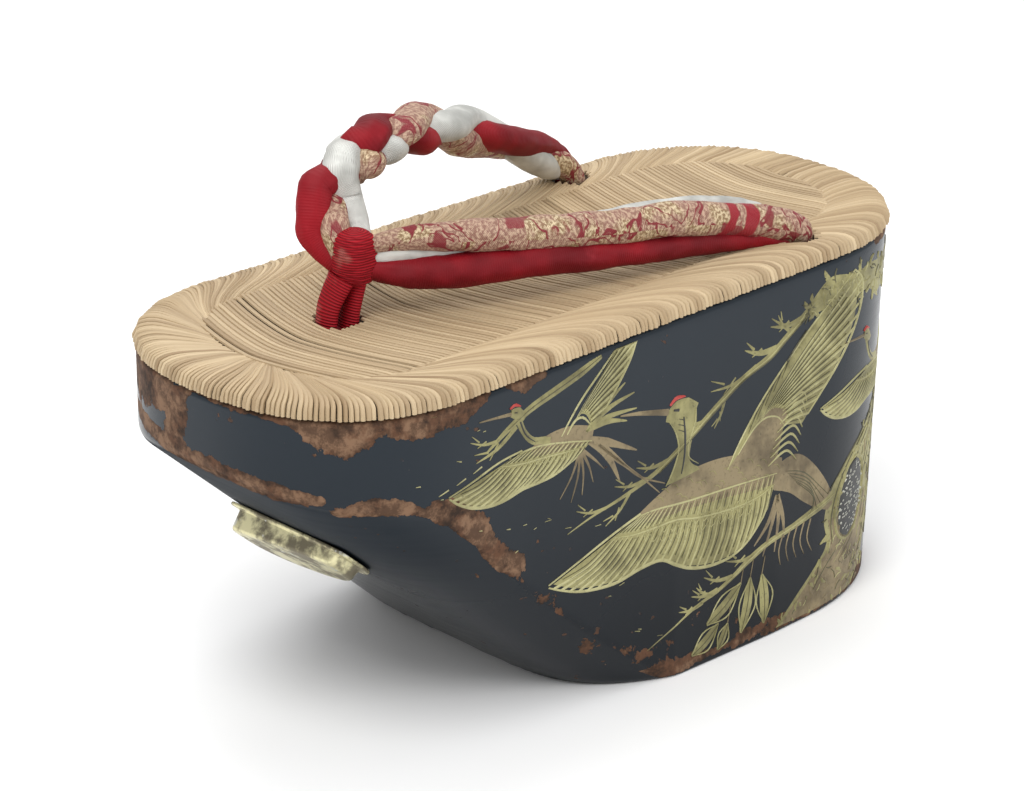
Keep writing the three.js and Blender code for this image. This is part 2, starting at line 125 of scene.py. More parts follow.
def plan_point(plan, way, side, inset=0.0):
    """way runs 0 to 1 round the toe, 1 to 2 along the side and 2 to 3 round the heel."""
    toe_start, heel_start = plan["toe"] + plan["toe_arc"], plan["heel"] - plan["heel_arc"]
    if 1 < way < 2:
        y = mix(toe_start, heel_start, way - 1)
        return side * (read_table(plan["half"], y) - inset), y
    if way <= 1:
        end, turn, start, sign = "toe", (1 - way) * math.pi / 2, toe_start, -1
    else:
        end, turn, start, sign = "heel", (way - 2) * math.pi / 2, heel_start, 1
    arc, power = plan[end + "_arc"], plan[end + "_power"]
    across = max(math.cos(turn), 0.0) ** (2 / power)
    y = start + sign * (arc - inset) * math.sin(turn) ** (2 / power)
    return side * (read_table(plan["half"], y) - inset) * across, y


def girth_table(steps=900):
    """Rows of (girth, way) along one side of the top edge."""
    rows, length, last = [], 0.0, None
    for i in range(steps + 1):
        way = 3 * i / steps
        x, y = plan_point(TOP_PLAN, way, 1)
        if last:
            length += math.dist((x, y), last)
        rows.append((length, way))
        last = (x, y)
    return rows


GIRTHS = girth_table()
HALF_GIRTH = GIRTHS[-1][0]


def way_of(girth):
    """Where a girth lies on the plan, as way and side; past the heel tip it comes back."""
    if abs(girth) > HALF_GIRTH:
        girth -= math.copysign(2 * HALF_GIRTH, girth)
    size = abs(girth)
    low, high = 0, len(GIRTHS) - 1
    while high - low > 1:
        middle = (low + high) // 2
        if GIRTHS[middle][0] <= size:
            low = middle
        else:
            high = middle
    (a, way_a), (b, way_b) = GIRTHS[low], GIRTHS[high]
    return mix(way_a, way_b, (size - a) / (b - a)), (1 if girth >= 0 else -1)


def wall_line(girth):
    """Top and foot points of the wall at a girth."""
    way, side = way_of(girth)
    x, y = plan_point(TOP_PLAN, way, side)
    foot_x, foot_y = plan_point(FLOOR_PLAN, way, side)
    top, foot = Vector((x, y, rim_z(y) - RIM_ROUND)), Vector((foot_x, foot_y, FLOOR_PLAN_Z))
    return top, top + (foot - top) * (top.z / (top.z - FLOOR_PLAN_Z))


def wall_at(girth, z, lift=0.0):
    """A point on the wall at a height, lifted off it by some millimetres."""
    top, foot = wall_line(girth)
    point = top.lerp(foot, (top.z - z) / top.z)
    if lift:
        ahead, _ = wall_line(girth + 1)
        behind, _ = wall_line(girth - 1)
        point += (ahead - behind).cross(top - foot).normalized() * lift
    return point


print("half girth of the block:", round(HALF_GIRTH, 1), "mm")

# %% [markdown]
# ## Extruding a shape ring by ring
#
# Most pieces of this shoe are rings stacked along a path: the block, the strands, the cords and
# the metal cover. We start from a circle and extrude its edge once for each ring, and every new
# vertex finds its place by the station number that it inherits. The same two numbers, station
# and ring, give a UV map, so a weave can follow a cord round its bends.


# %% The ring tool
def finish_object(name, bm, smooth_angle=40):
    mesh = bpy.data.meshes.new(name)
    bmesh.ops.recalc_face_normals(bm, faces=bm.faces)
    bm.to_mesh(mesh)
    bm.free()
    piece = bpy.data.objects.new(name, mesh)
    bpy.context.collection.objects.link(piece)
    mesh.shade_smooth()
    mesh.set_sharp_from_angle(angle=math.radians(smooth_angle))
    return piece


SCRATCH = bpy.data.meshes.new("scratch")


def new_form():
    """An empty bmesh with the layers that every ring form carries."""
    bm = bmesh.new()
    bm.verts.layers.int.new("station")
    bm.verts.layers.float.new("mark")
    bm.loops.layers.uv.new("UVMap")
    return bm


def add_rings(bm, rings, marks=None):
    """Extrudes a ring through all the others and adds the closed form to bm.

    It is made in a bmesh of its own, because an operator takes longer in one that already holds
    much. marks holds one value for every ring and station.
    """
    form, count = new_form(), len(rings[0])
    station, mark = form.verts.layers.int["station"], form.verts.layers.float["mark"]
    uv = form.loops.layers.uv["UVMap"]
    start = bmesh.ops.create_circle(form, segments=count, radius=1)["verts"]
    for i, vert in enumerate(start):
        vert[station] = i
        vert.co = Vector(rings[0][i]) * MM
        vert[mark] = marks[0][i] if marks else 0.0
    first_rim = rim = list(form.edges)
    run = 0.0
    for r, ring in enumerate(rings[1:], start=1):
        made = bmesh.ops.extrude_edge_only(form, edges=rim)["geom"]
        rim = [e for e in made if isinstance(e, bmesh.types.BMEdge) and e.is_boundary]
        step = math.dist(rings[r][0], rings[r - 1][0])
        fresh = {v for v in made if isinstance(v, bmesh.types.BMVert)}
        for vert in fresh:
            vert.co = Vector(ring[vert[station]]) * MM
            vert[mark] = marks[r][vert[station]] if marks else 0.0
        for face in {f for e in rim for f in e.link_faces}:
            wraps = {loop.vert[station] for loop in face.loops} == {0, count - 1}
            for loop in face.loops:
                number = count if wraps and loop.vert[station] == 0 else loop.vert[station]
                loop[uv].uv = (number / count, (run + (step if loop.vert in fresh else 0)) * MM)
        run += step
    for edges in (first_rim, rim):
        bmesh.ops.contextual_create(form, geom=edges)
    form.to_mesh(SCRATCH)
    form.free()
    bm.from_mesh(SCRATCH)
    return run


def ring_piece(name, rings, marks=None, smooth_angle=40):
    bm = new_form()
    run = add_rings(bm, rings, marks)
    piece = finish_object(name, bm, smooth_angle)
    print(f"{name}: {len(piece.data.polygons)} faces, {run:.0f} mm along")
    return piece


def dress(piece, finish, node=None):
    """Gives a piece its finish and its body, and hides the frame node that it stands for."""
    if finish:
        piece.data.materials.clear()
        piece.data.materials.append(finish)
    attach(piece, "root")
    if node:
        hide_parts(node)


# %% [markdown]
# ## Shader maths as plain expressions
#
# A finish is arithmetic on patterns: a noise, a threshold, a mix of two colours. The small class
# below wraps a socket, so that `1 - mask` or `noise * 3` adds the Math node by itself, and one
# method adds any other node.


# %% The shader helper
def arithmetic(operation, turned=False):
    """A method that adds the Math node of an operator."""
    def act(self, other):
        pair = [other, self] if turned else [self, other]
        return self.paint.node("ShaderNodeMath", {"operation": operation}, pair)
    return act


class Value:
    """A socket that takes part in Python expressions."""

    __add__ = __radd__ = arithmetic("ADD")
    __mul__ = __rmul__ = arithmetic("MULTIPLY")
    __sub__, __rsub__ = arithmetic("SUBTRACT"), arithmetic("SUBTRACT", turned=True)
    either = arithmetic("MAXIMUM")

    def __init__(self, paint, socket):
        self.paint, self.socket = paint, socket

    def maths(self, operation):
        return self.paint.node("ShaderNodeMath", {"operation": operation}, [self])

    def wave(self, pitch):
        """A wave from -1 to 1 that repeats after each pitch."""
        return (self * (2 * math.pi / pitch)).maths("SINE")

    def step(self, low, high):
        """0 below low and 1 above high, with a soft passage between."""
        return self.paint.node("ShaderNodeMapRange", {"interpolation_type": "SMOOTHSTEP"},
                               {"Value": self, "From Min": low, "From Max": high})


class Paint:
    """One material under construction."""

    def __init__(self, name):
        self.material = bpy.data.materials.new(name)
        self.material.use_nodes = True
        self.tree = self.material.node_tree
        self.shader = self.tree.nodes["Principled BSDF"]

    def node(self, kind, settings=None, inputs=None, output=0):
        made = self.tree.nodes.new(kind)
        for key, setting in (settings or {}).items():
            if key == "stops":
                while len(made.color_ramp.elements) < len(setting):
                    made.color_ramp.elements.new(1)
                for element, (place, colour) in zip(made.color_ramp.elements, setting):
                    element.position, element.color = place, (*colour, 1)
            else:
                setattr(made, key, setting)
        pairs = inputs.items() if isinstance(inputs, dict) else enumerate(inputs or [])
        for key, value in pairs:
            self.plug(made.inputs[key], value)
        return Value(self, made.outputs[output])

    def plug(self, socket, value):
        if isinstance(value, Value):
            self.tree.links.new(value.socket, socket)
        elif socket.type == "RGBA" and len(value) == 3:
            socket.default_value = (*value, 1)
        else:
            socket.default_value = value

    def place(self):
        return self.node("ShaderNodeTexCoord", output="Object")

    def uv(self, across=1.0, along=1.0):
        """The piece's own UV map, stretched."""
        flat = self.node("ShaderNodeUVMap", {"uv_map": "UVMap"})
        return self.node("ShaderNodeVectorMath", {"operation": "MULTIPLY"}, [flat, (across, along, 1)])

    def split(self, vector):
        parts = self.node("ShaderNodeSeparateXYZ", inputs=[vector]).socket.node
        return [Value(self, parts.outputs[k]) for k in range(3)]

    def noise(self, scale, detail=3.0, rough=0.55, at=None, stretch=None, distort=0.0):
        at = at or self.place()
        if stretch:
            at = self.node("ShaderNodeVectorMath", {"operation": "MULTIPLY"}, [at, stretch])
        return self.node("ShaderNodeTexNoise", inputs={
            "Vector": at, "Scale": scale, "Detail": detail, "Roughness": rough, "Distortion": distort})

    def mark(self, name="mark"):
        return self.node("ShaderNodeAttribute", {"attribute_name": name}, output="Fac")

    def blend(self, share, low, high):
        """A colour between two colours."""
        made = self.node("ShaderNodeMix", {"data_type": "RGBA"}).socket.node
        for index, value in ((0, share), (6, low), (7, high)):
            self.plug(made.inputs[index], value)
        return Value(self, made.outputs[2])

    def bump(self, height, depth_mm):
        normal = self.node("ShaderNodeBump", inputs={"Height": height, "Distance": depth_mm * MM})
        self.plug(self.shader.inputs["Normal"], normal)

    def set(self, **sockets):
        """Sets shader sockets by name, with _ for a blank."""
        for key, value in sockets.items():
            self.plug(self.shader.inputs[key.replace("_", " ")], value)
        return self.material


# %% [markdown]
# ## Black lacquer over wood
#
# Urushi lacquer is nearly black with a breath of blue, hard and glossy. Where the shoe was
# knocked, it has come off in flakes and shows brown priming and paler wood. Each vertex of the
# block carries a mark that says how much wear it has had, and a noise turns that mark into ragged
# flakes: it decides where, the noise decides the edge. The black is painted darker toward the foot
# as painted shade and paler toward the rim as painted reflection, and the slope is scuffed dull
# near the lip. The hollow only got the matt undercoat.


# %% Lacquer
def lacquer_paint(name, shine, rough, foot_shade_and_rim_reflection):
    """The last argument holds the darkest and the palest black: the darkest is painted at the foot
    as painted shade, the palest toward the rim as painted reflection.
    """
    paint = Paint(name)
    wear = paint.mark()
    ragged = paint.noise(75, 6, 0.7, distort=0.4)
    broad = paint.noise(30, 3, 0.6)
    fine = paint.noise(420, 3, 0.6)
    level = wear * 0.9 + (ragged - 0.5) * 2.1 + (broad - 0.5) * 1.1 + (fine - 0.5) * 0.8
    bare = level.step(0.5, 0.53)
    specks = paint.noise(330, 1, 0.5).step(0.735, 0.75) * paint.noise(28, 1, 0.5).step(0.5, 0.62)
    chipped = bare.either(specks * 0.75)
    cloud = paint.noise(14, 3, 0.5)
    height = paint.split(paint.place())[2]
    # painted shade and painted reflection: darkest black near the foot, palest near the rim, under a random
    # cloud of tone
    black = paint.blend(height.step(0.012, 0.1) * 0.75 + cloud * 0.4 - 0.07, *foot_shade_and_rim_reflection)
    grime = paint.noise(210, 5, 0.75)
    blotch = paint.noise(95, 4, 0.65)
    ground = paint.blend(grime.step(0.36, 0.62), (0.028, 0.016, 0.010), (0.110, 0.052, 0.028))
    wood = paint.blend(grime.step(0.4, 0.62), (0.085, 0.046, 0.027), (0.21, 0.122, 0.072))
    worn = paint.blend((blotch * 0.9 + wear * 0.1).step(0.5, 0.62), ground, wood)
    hairlines = paint.noise(60, 2, 0.5, stretch=(1, 1, 9)).step(0.3, 0.8)
    down = paint.split(paint.node("ShaderNodeNewGeometry", output="Normal"))[2] * -1
    scuffed = down.step(0.3, 0.6) * height.step(0.030, 0.066)
    paint.bump((1 - chipped) + hairlines * 0.012 + grime * chipped * 0.5, 0.3)
    return paint.set(Base_Color=paint.blend(chipped, black, worn),
                     Roughness=rough + hairlines * 0.05 + cloud * 0.06 + chipped * 0.5 + scuffed * 0.55,
                     Specular_IOR_Level=shine)


LACQUER = lacquer_paint("black_lacquer", 0.2, 0.17,
                        ((0.0028, 0.0042, 0.0066), (0.0165, 0.0235, 0.0315)))
MATT_LACQUER = lacquer_paint("matt_hollow", 0.06, 0.55,
                             ((0.0035, 0.0045, 0.0060), (0.0090, 0.0105, 0.0125)))
print("lacquer nodes:", len(LACQUER.node_tree.nodes))

# %% [markdown]
# ## The block
#
# The block is turned out of one piece of light wood: an oval plan, upright sides, a hull-shaped
# slope under the toe and a hollow carved from below. We make it as one long sequence of rings:
# over the top edge, down the wall, round the lip, back along the underside to the hollow, and up
# the hollow's wall to its roof. So every edge can be softly rounded, as polished lacquer is.

# %% Underside and hollow
SLOPE_TOP_Z, SLOPE_FOOT_Y = 77.0, -27.0
SLOPE_FALL = SLOPE_TOP_Z / (SLOPE_FOOT_Y - TOE_Y)
SLOPE_HALF = ((-115, 51), (-70, 51), (-30, 54), (0, 55.4))
SLOPE_RISE = ((-115, 22), (-70, 22), (-30, 23.5), (0, 25))
SLOPE_POWER = ((-115, 4.5), (-70, 4.5), (-30, 5.2), (0, 6))
LIP_ROUND, FOOT_ROUND, CREASE = 2.4, 0.8, 2.0
HOLLOW = {"front": -10.0, "back": 98.7, "half": 43.0, "roof": 68.0, "draft": 3.0, "cove": 5.0,
          "power": 3.2, "edge": 1.2}
HOLLOW_MIDDLE, HOLLOW_REACH = (HOLLOW["front"] + HOLLOW["back"]) / 2, (HOLLOW["back"] - HOLLOW["front"]) / 2


def slope_z(x, y):
    middle = SLOPE_TOP_Z - SLOPE_FALL * (y - TOE_Y)
    reach = abs(x) / read_table(SLOPE_HALF, y)
    return middle + read_table(SLOPE_RISE, y) * reach ** read_table(SLOPE_POWER, y)


def underside_z(x, y):
    """The slope where it is above the floor, with a rounded meeting of the two."""
    height = slope_z(x, y)
    near = max(CREASE - abs(height), 0) / CREASE
    return max(height, 0) + near * near * CREASE / 4


def hollow_point(turn, inset, z):
    x = (HOLLOW["half"] - inset) * squared(math.cos(turn), HOLLOW["power"])
    y = HOLLOW_MIDDLE + (HOLLOW_REACH - inset) * squared(math.sin(turn), HOLLOW["power"])
    return Vector((x, y, z))


def round_corner(before, corner, after, steps):
    """Points of a soft corner, without its two ends."""
    shares = [(i + 1) / (steps + 1) for i in range(steps)]
    return [before.lerp(corner, t).lerp(corner.lerp(after, t), t) for t in shares]


# %% One section of the block
RIM_ROWS, WALL_ROWS, CORNER_ROWS = 4, 56, 4
UNDER_ROWS, FLOOR_ROWS, DRAFT_ROWS, COVE_ROWS = 22, 8, 8, 5


def wall_foot(top, foot):
    """Where the wall meets the underside, found by halving."""
    low, high = 0.0, 1.0
    for _ in range(26):
        share = (low + high) / 2
        point = top.lerp(foot, share)
        if point.z > underside_z(point.x, point.y):
            low = share
        else:
            high = share
    return top.lerp(foot, low)


def underside_path(corner, rim):
    """Fine points from the foot of the wall to the hollow's rim, with the run so far."""
    points, run, steps = [], 0.0, 90
    for i in range(steps + 1):
        share = (i / steps) ** 1.7
        flat = corner.lerp(rim, share)
        point = Vector((flat.x, flat.y, underside_z(flat.x, flat.y)))
        run += (point - points[-1][1]).length if points else 0
        points.append((run, point))
    return points


def block_section(girth):
    """All the points of the block at one girth, from the top edge to the hollow's roof."""
    way, side = way_of(girth)
    points = []
    for k in range(RIM_ROWS):
        turn = math.pi / 2 * k / (RIM_ROWS - 1)
        x, y = plan_point(TOP_PLAN, way, side, RIM_ROUND * (1 - math.sin(turn)))
        points.append(Vector((x, y, rim_z(y) - RIM_ROUND * (1 - math.cos(turn)))))
    top, foot = wall_line(girth)
    corner = wall_foot(top, foot)
    soft = mix(FOOT_ROUND, LIP_ROUND, soft_step(0, 8, corner.z))
    above = corner + (top - corner).normalized() * soft
    points += [top.lerp(above, (k + 1) / WALL_ROWS) for k in range(WALL_ROWS)]
    turn = math.atan2((corner.y - HOLLOW_MIDDLE) / HOLLOW_REACH, corner.x / HOLLOW["half"])
    rim = hollow_point(turn, 0, 0)
    path = underside_path(corner, rim)
    length = path[-1][0]
    low = next((run for run, point in path if slope_z(point.x, point.y) < 0), length)
    crease = max(low, 0.3 * length)
    edge = HOLLOW["edge"]
    runs = [mix(soft, crease, (k / UNDER_ROWS) ** 1.35) for k in range(UNDER_ROWS + 1)]
    runs += [mix(crease, length - edge, (k + 1) / FLOOR_ROWS) for k in range(FLOOR_ROWS)]
    under = [read_table(path, run) for run in runs]
    points += round_corner(above, corner, under[0], CORNER_ROWS) + under
    inner = hollow_point(turn, 0, edge)
    points += round_corner(under[-1], rim, inner, 3)
    straight = HOLLOW["roof"] - HOLLOW["cove"]
    for k in range(DRAFT_ROWS):
        share = k / (DRAFT_ROWS - 1)
        points.append(hollow_point(turn, HOLLOW["draft"] * share, mix(edge, straight, share)))
    for k in range(COVE_ROWS):
        bend = math.pi / 2 * (k + 1) / COVE_ROWS
        inset = HOLLOW["draft"] + HOLLOW["cove"] * (1 - math.cos(bend))
        points.append(hollow_point(turn, inset, straight + HOLLOW["cove"] * math.sin(bend)))
    return points


# %% [markdown]
# ### Where the shoe was knocked
#
# Wear follows use: the rim under the mat, the lip and the foot edge catch everything. One short
# table draws the long losses as bands, and another places the small ones as spots.

# %% Wear marks
# each band is a line of (girth, height, half width) that is worn through along its length
WORN_BANDS = (
    ((-3, 97.8, 1.2), (14, 97.4, 1.4), (30, 96.8, 1.7), (36, 95.2, 3.4), (44, 93.8, 4.6),
     (51, 94.6, 3.8), (64, 95.3, 3.4), (76, 95.6, 3.1), (84, 97.6, 1.2)),
    ((91, 97.9, 1.0), (97, 97.0, 2.4), (103, 97.8, 1.4)),
    ((40, 72.4, 0.9), (46, 73.6, 2.1), (52, 73.9, 2.8), (58, 73.2, 2.4), (62, 72.0, 1.0)),
    ((63, 71.0, 1.0), (68, 70.4, 2.6), (75, 67.2, 3.4), (80, 61.5, 3.8), (84, 55.4, 3.4),
     (88, 51.0, 3.4), (95, 48.0, 2.6)),
    ((-46, 83, 1.6), (-30, 80.4, 2.0), (-16, 78.8, 2.3), (0, 77.6, 2.4), (14, 77.2, 2.2),
     (27, 76.4, 1.9), (38, 75.6, 1.0)),
    ((-4, 95.8, 1.2), (-10, 91, 3.4), (-22, 92, 5.6), (-36, 93, 6.0), (-52, 96, 3.0),
     (-80, 97.6, 1.6)),
    ((-7, 90, 3.0), (-10, 84, 3.6), (-9, 79, 2.6)),
    ((136, 2.6, 0.8), (150, 3.0, 2.0), (172, 2.6, 1.0), (194, 3.0, 2.4), (226, 2.4, 1.2),
     (250, 3, 1.8), (270, 3.4, 2.6)),
    ((-150, 2.6, 1.2), (-185, 3.2, 2.4), (-215, 2.6, 1.2), (-240, 4, 3), (-268, 3, 1.6)),
    ((-66, 73, 1.6), (-78, 66, 2.6), (-88, 55, 2.2), (-100, 41, 3.4), (-108, 34, 1.6)),
    ((-150, 99, 1.0), (-176, 99, 2.0), (-196, 99.6, 1.0)),
    ((236, 101, 0.9), (262, 101, 1.5), (276, 101, 0.8)),
)
# girth, height, reach along, reach up, strength
WORN_SPOTS = (
    (144, 10, 5, 3.4, 0.62), (181, 8, 5, 4, 0.62), (62, 57, 3, 1.2, 0.5), (74, 46, 3, 1.2, 0.5),
    (104, 36, 5, 2.4, 0.45), (122, 17, 8, 3, 0.45), (-120, 98, 14, 2.4, 0.6), (-215, 12, 8, 5, 0.55),
)


BAND_STRENGTH, BAND_MARGIN = 1.1, 12
SPOT_REACH = 2.2
EDGE_STRENGTH, EDGE_REACH = 0.3, 2.2


def band_wear(girth, z):
    best = 0.0
    for band in WORN_BANDS:
        for (g, h, half), (next_g, next_h, next_half) in zip(band, band[1:]):
            if not min(g, next_g) - BAND_MARGIN < girth < max(g, next_g) + BAND_MARGIN:
                continue
            along, up = next_g - g, next_h - h
            share = ((girth - g) * along + (z - h) * up) / (along * along + up * up)
            share = min(max(share, 0.0), 1.0)
            away = math.hypot(girth - g - along * share, z - h - up * share)
            fade = soft_step(0.4, 2.0, away / mix(half, next_half, share))
            best = max(best, BAND_STRENGTH * (1 - fade))
    return best


def wear_at(girth, z):
    total = band_wear(girth, z)
    for at, height, along, up, strength in WORN_SPOTS:
        gap = abs(girth - at)
        if gap < SPOT_REACH * along and abs(z - height) < SPOT_REACH * up:
            total = max(total, strength * math.exp(-(gap / along) ** 2 - ((z - height) / up) ** 2))
    return total


def edge_wear(section):
    """How near each point of a section lies to the lip or foot edge, as a little wear."""
    corner = section[RIM_ROWS + WALL_ROWS + CORNER_ROWS // 2]
    return [EDGE_STRENGTH * math.exp(-((point - corner).length / EDGE_REACH) ** 2) for point in section]


# %% Extrude the block
STATIONS = 380
WORN_UNDER_ROWS = 12


def make_block():
    girths = [2 * HALF_GIRTH * i / STATIONS for i in range(STATIONS)]
    girths = [g - 2 * HALF_GIRTH if g > HALF_GIRTH else g for g in girths]
    sections = [block_section(g) for g in girths]
    worn_end = RIM_ROWS + WALL_ROWS + CORNER_ROWS + WORN_UNDER_ROWS
    marks = []
    for girth, section in zip(girths, sections):
        near = edge_wear(section)
        marks.append([max(near[k], wear_at(girth, p.z) if k < worn_end else 0) if k > 0 else 0
                      for k, p in enumerate(section)])
    rings = [[section[k] for section in sections] for k in range(len(sections[0]))]
    marks = [[row[k] for row in marks] for k in range(len(rings))]
    return ring_piece("block_lacquer", rings, marks, smooth_angle=60)


block = make_block()

# %% [markdown]
# ### Holes for the thong
#
# Three holes go through the block: one near the toe, which widens below into a pocket for its
# knot, and two at the rear that come out in the hollow's roof. They are cut with a Boolean
# modifier, which is exact and hidden work, since mat and cover lie over both ends.

# %% Cut the thong holes
FRONT_HOLE = {"x": -3.3, "y": -65.7, "radius": 5.8, "lean": (1.5, -9.0)}
INNER_HOLE = {"x": -40.5, "y": 54.0, "radius": 5.4, "lean": (9.0, 0.0)}
OUTER_HOLE = {"x": 36.5, "y": 62.4, "radius": 5.8, "lean": (-7.0, 0.0)}
MOUTH_Z, POCKET_RADIUS, POCKET_TOP = 100.0, 7.5, 63.0


def hole_centre(hole, z):
    share = (MOUTH_Z - z) / (MOUTH_Z - HOLLOW["roof"])
    return Vector((hole["x"] + hole["lean"][0] * share, hole["y"] + hole["lean"][1] * share, z))


def hole_ring(hole, z, radius=None, sides=28):
    radius, centre = radius or hole["radius"], hole_centre(hole, z)
    turns = [2 * math.pi * k / sides for k in range(sides)]
    return [centre + Vector((radius * math.cos(t), radius * math.sin(t), 0)) for t in turns]


def cut_holes(piece, bars):
    """bars holds a hole, its lowest and highest z, and a radius for each bar to cut."""
    bm = new_form()
    for hole, low, high, radius in bars:
        add_rings(bm, [hole_ring(hole, low, radius), hole_ring(hole, high, radius)])
    cutter = finish_object("cutter", bm)
    cut = piece.modifiers.new("holes", "BOOLEAN")
    cut.operation, cut.solver, cut.object, cut.use_self = "DIFFERENCE", "EXACT", cutter, True
    bpy.context.view_layer.update()
    cut_piece = piece.evaluated_get(bpy.context.evaluated_depsgraph_get())
    shape = bpy.data.meshes.new_from_object(cut_piece)
    piece.modifiers.clear()
    piece.data = shape
    bpy.data.objects.remove(cutter)
    print(piece.name, "after its holes:", len(shape.polygons), "faces")


def coat_hollow(piece):
    """Gives the faces of the hollow the matt coat."""
    piece.data.materials.clear()
    piece.data.materials.append(LACQUER)
    piece.data.materials.append(MATT_LACQUER)
    middle = Vector((0, HOLLOW_MIDDLE * MM, 0))
    for face in piece.data.polygons:
        flat = Vector((face.normal.x, face.normal.y, 0))
        spot = face.center / MM
        inside = abs(spot.x) < HOLLOW["half"] + 0.5 and abs(spot.y - HOLLOW_MIDDLE) < HOLLOW_REACH + 0.5
        inward = flat.dot(face.center - middle) < 0 or face.normal.z < -0.45
        face.material_index = 1 if inside and inward and 0.4 < spot.z < HOLLOW["roof"] + 1 else 0


cut_holes(block, [(FRONT_HOLE, 20, 110, None), (FRONT_HOLE, 15, POCKET_TOP, POCKET_RADIUS),
                  (INNER_HOLE, 60, 110, None), (OUTER_HOLE, 60, 110, None)])
coat_hollow(block)
dress(block, None, "block")

# %% [markdown]
# ## The woven mat
#
# The footbed is a thin pad covered with strips of bamboo sheath. Over the middle they run across
# the foot in shallow arcs. Near the edge they bend, run along for a while and wrap down over the
# rim. Real strips vary, so each is its own small solid, shingled on the next, with its own tone.

# %% Straw finish
MAT = {"thick": 4.0, "round": 6.0, "crown": 2.1, "seam": 0.3}
BORDER = 17.0
STRIP_PITCH = 1.42


def straw_paint():
    paint = Paint("bamboo_sheath")
    tone = paint.mark()
    fibre = paint.noise(1.0, 3, 0.6, at=paint.uv(9, 260))
    long_fibre = paint.noise(1.0, 4, 0.65, at=paint.uv(26, 38))
    patch = paint.noise(22, 3, 0.55)
    pale = paint.blend(tone, (0.265, 0.175, 0.092), (0.60, 0.47, 0.295))
    warm = paint.blend(patch.step(0.35, 0.7) * 0.6, pale, (0.44, 0.32, 0.185))
    streaky = paint.blend(long_fibre.step(0.58, 0.76) * 0.6, warm, (0.15, 0.09, 0.045))
    dusty = paint.blend(fibre.step(0.64, 0.82) * 0.25, streaky, (0.70, 0.60, 0.43))
    paint.bump(long_fibre * 0.7 + fibre * 0.3, 0.10)
    return paint.set(Base_Color=dusty, Roughness=0.5 + fibre * 0.18, Specular_IOR_Level=0.4)


def under_straw_paint():
    paint = Paint("mat_ground_painted_shade")
    grain = paint.noise(300, 4, 0.6)
    paint.bump(grain, 0.2)
    # painted shade: the pad under the strips is coloured near-black brown, so the gaps between the strips
    # show dark
    brown = paint.blend(grain, (0.022, 0.013, 0.007), (0.075, 0.045, 0.022))
    return paint.set(Base_Color=brown, Roughness=0.9)


STRAW, UNDER_STRAW = straw_paint(), under_straw_paint()

# %% The pad under the strips
GROUND_DROP, GROUND_STATIONS = 0.55, 240
GROUND_DEPTHS = (0, 0.4, 1.2, 2.6, 4.2, 6, 9, 13, 17, 24, 32)


def mat_z(y, depth):
    """Top of the mat at a depth in from the rim: it rolls down to the rim."""
    roll = min(max(1 - depth / MAT["round"], 0.0), 1.0)
    return rim_z(y) + MAT["seam"] + MAT["thick"] - MAT["crown"] * (1 - math.sqrt(1 - roll * roll))


def make_mat_ground():
    places = [way_of(2 * HALF_GIRTH * i / GROUND_STATIONS) for i in range(GROUND_STATIONS)]

    def ring(inset, height):
        made = []
        for way, side in places:
            x, y = plan_point(TOP_PLAN, way, side, inset)
            made.append((x, y, height(y)))
        return made

    rings = [ring(1.0, lambda y: rim_z(y) + MAT["seam"]), ring(0.5, lambda y: rim_z(y) + 0.9)]
    for depth in GROUND_DEPTHS:
        rings.append(ring(depth + GROUND_DROP, lambda y, d=depth: mat_z(y, d) - GROUND_DROP))
    return ring_piece("mat_ground_painted_shade", rings)


mat_ground_painted_shade = make_mat_ground()
cut_holes(mat_ground_painted_shade, [(hole, 88, 115, None) for hole in (FRONT_HOLE, INNER_HOLE, OUTER_HOLE)])
dress(mat_ground_painted_shade, UNDER_STRAW)

# %% [markdown]
# ### One strip
#
# A strip has a low shingled section: flat below, its high edge over the neighbour. Where a thong
# hole lies in its way it simply stops and starts again, as the cut ends do on the real mat.

# %% Lay a strip
HOLES = (FRONT_HOLE, INNER_HOLE, OUTER_HOLE)
# across in strip widths, up in strip heights
STRIP_SECTION = ((-0.5, -0.3), (-0.42, 0.45), (-0.05, 1.0), (0.4, 0.62), (0.5, -0.3), (0.0, -0.7))


def in_hole(x, y):
    return any(math.hypot(x - h["x"], y - h["y"]) < h["radius"] - 0.2 for h in HOLES)


def lay_strip(bm, path, width, high, tone):
    """path is a list of points and up directions; the strip is cut where it crosses a hole."""
    runs, run = [], []
    for point, up in path:
        if in_hole(point.x, point.y):
            runs.append(run)
            run = []
        else:
            run.append((point, up))
    runs.append(run)
    for part in runs:
        if len(part) < 3:
            continue
        rings = []
        for i, (point, up) in enumerate(part):
            before, after = part[max(i - 1, 0)][0], part[min(i + 1, len(part) - 1)][0]
            across = (after - before).cross(up).normalized()
            rings.append([point + across * (a * width) + up * (h * high) for a, h in STRIP_SECTION])
        add_rings(bm, rings, [[tone] * len(STRIP_SECTION)] * len(rings))


# %% The border strips
SWEEP = 32.0
BORDER_SHARES = (0.03, 0.08, 0.16, 0.26, 0.36, 0.47, 0.58, 0.69, 0.79, 0.88, 0.95, 1.0)


def border_point(girth, depth, sweep):
    shift = sweep * (depth / BORDER) ** 2.1
    way, side = way_of(girth - math.copysign(shift, girth) if abs(girth) > shift else girth * 0.2)
    x, y = plan_point(TOP_PLAN, way, side, depth)
    return Vector((x, y, mat_z(y, depth)))


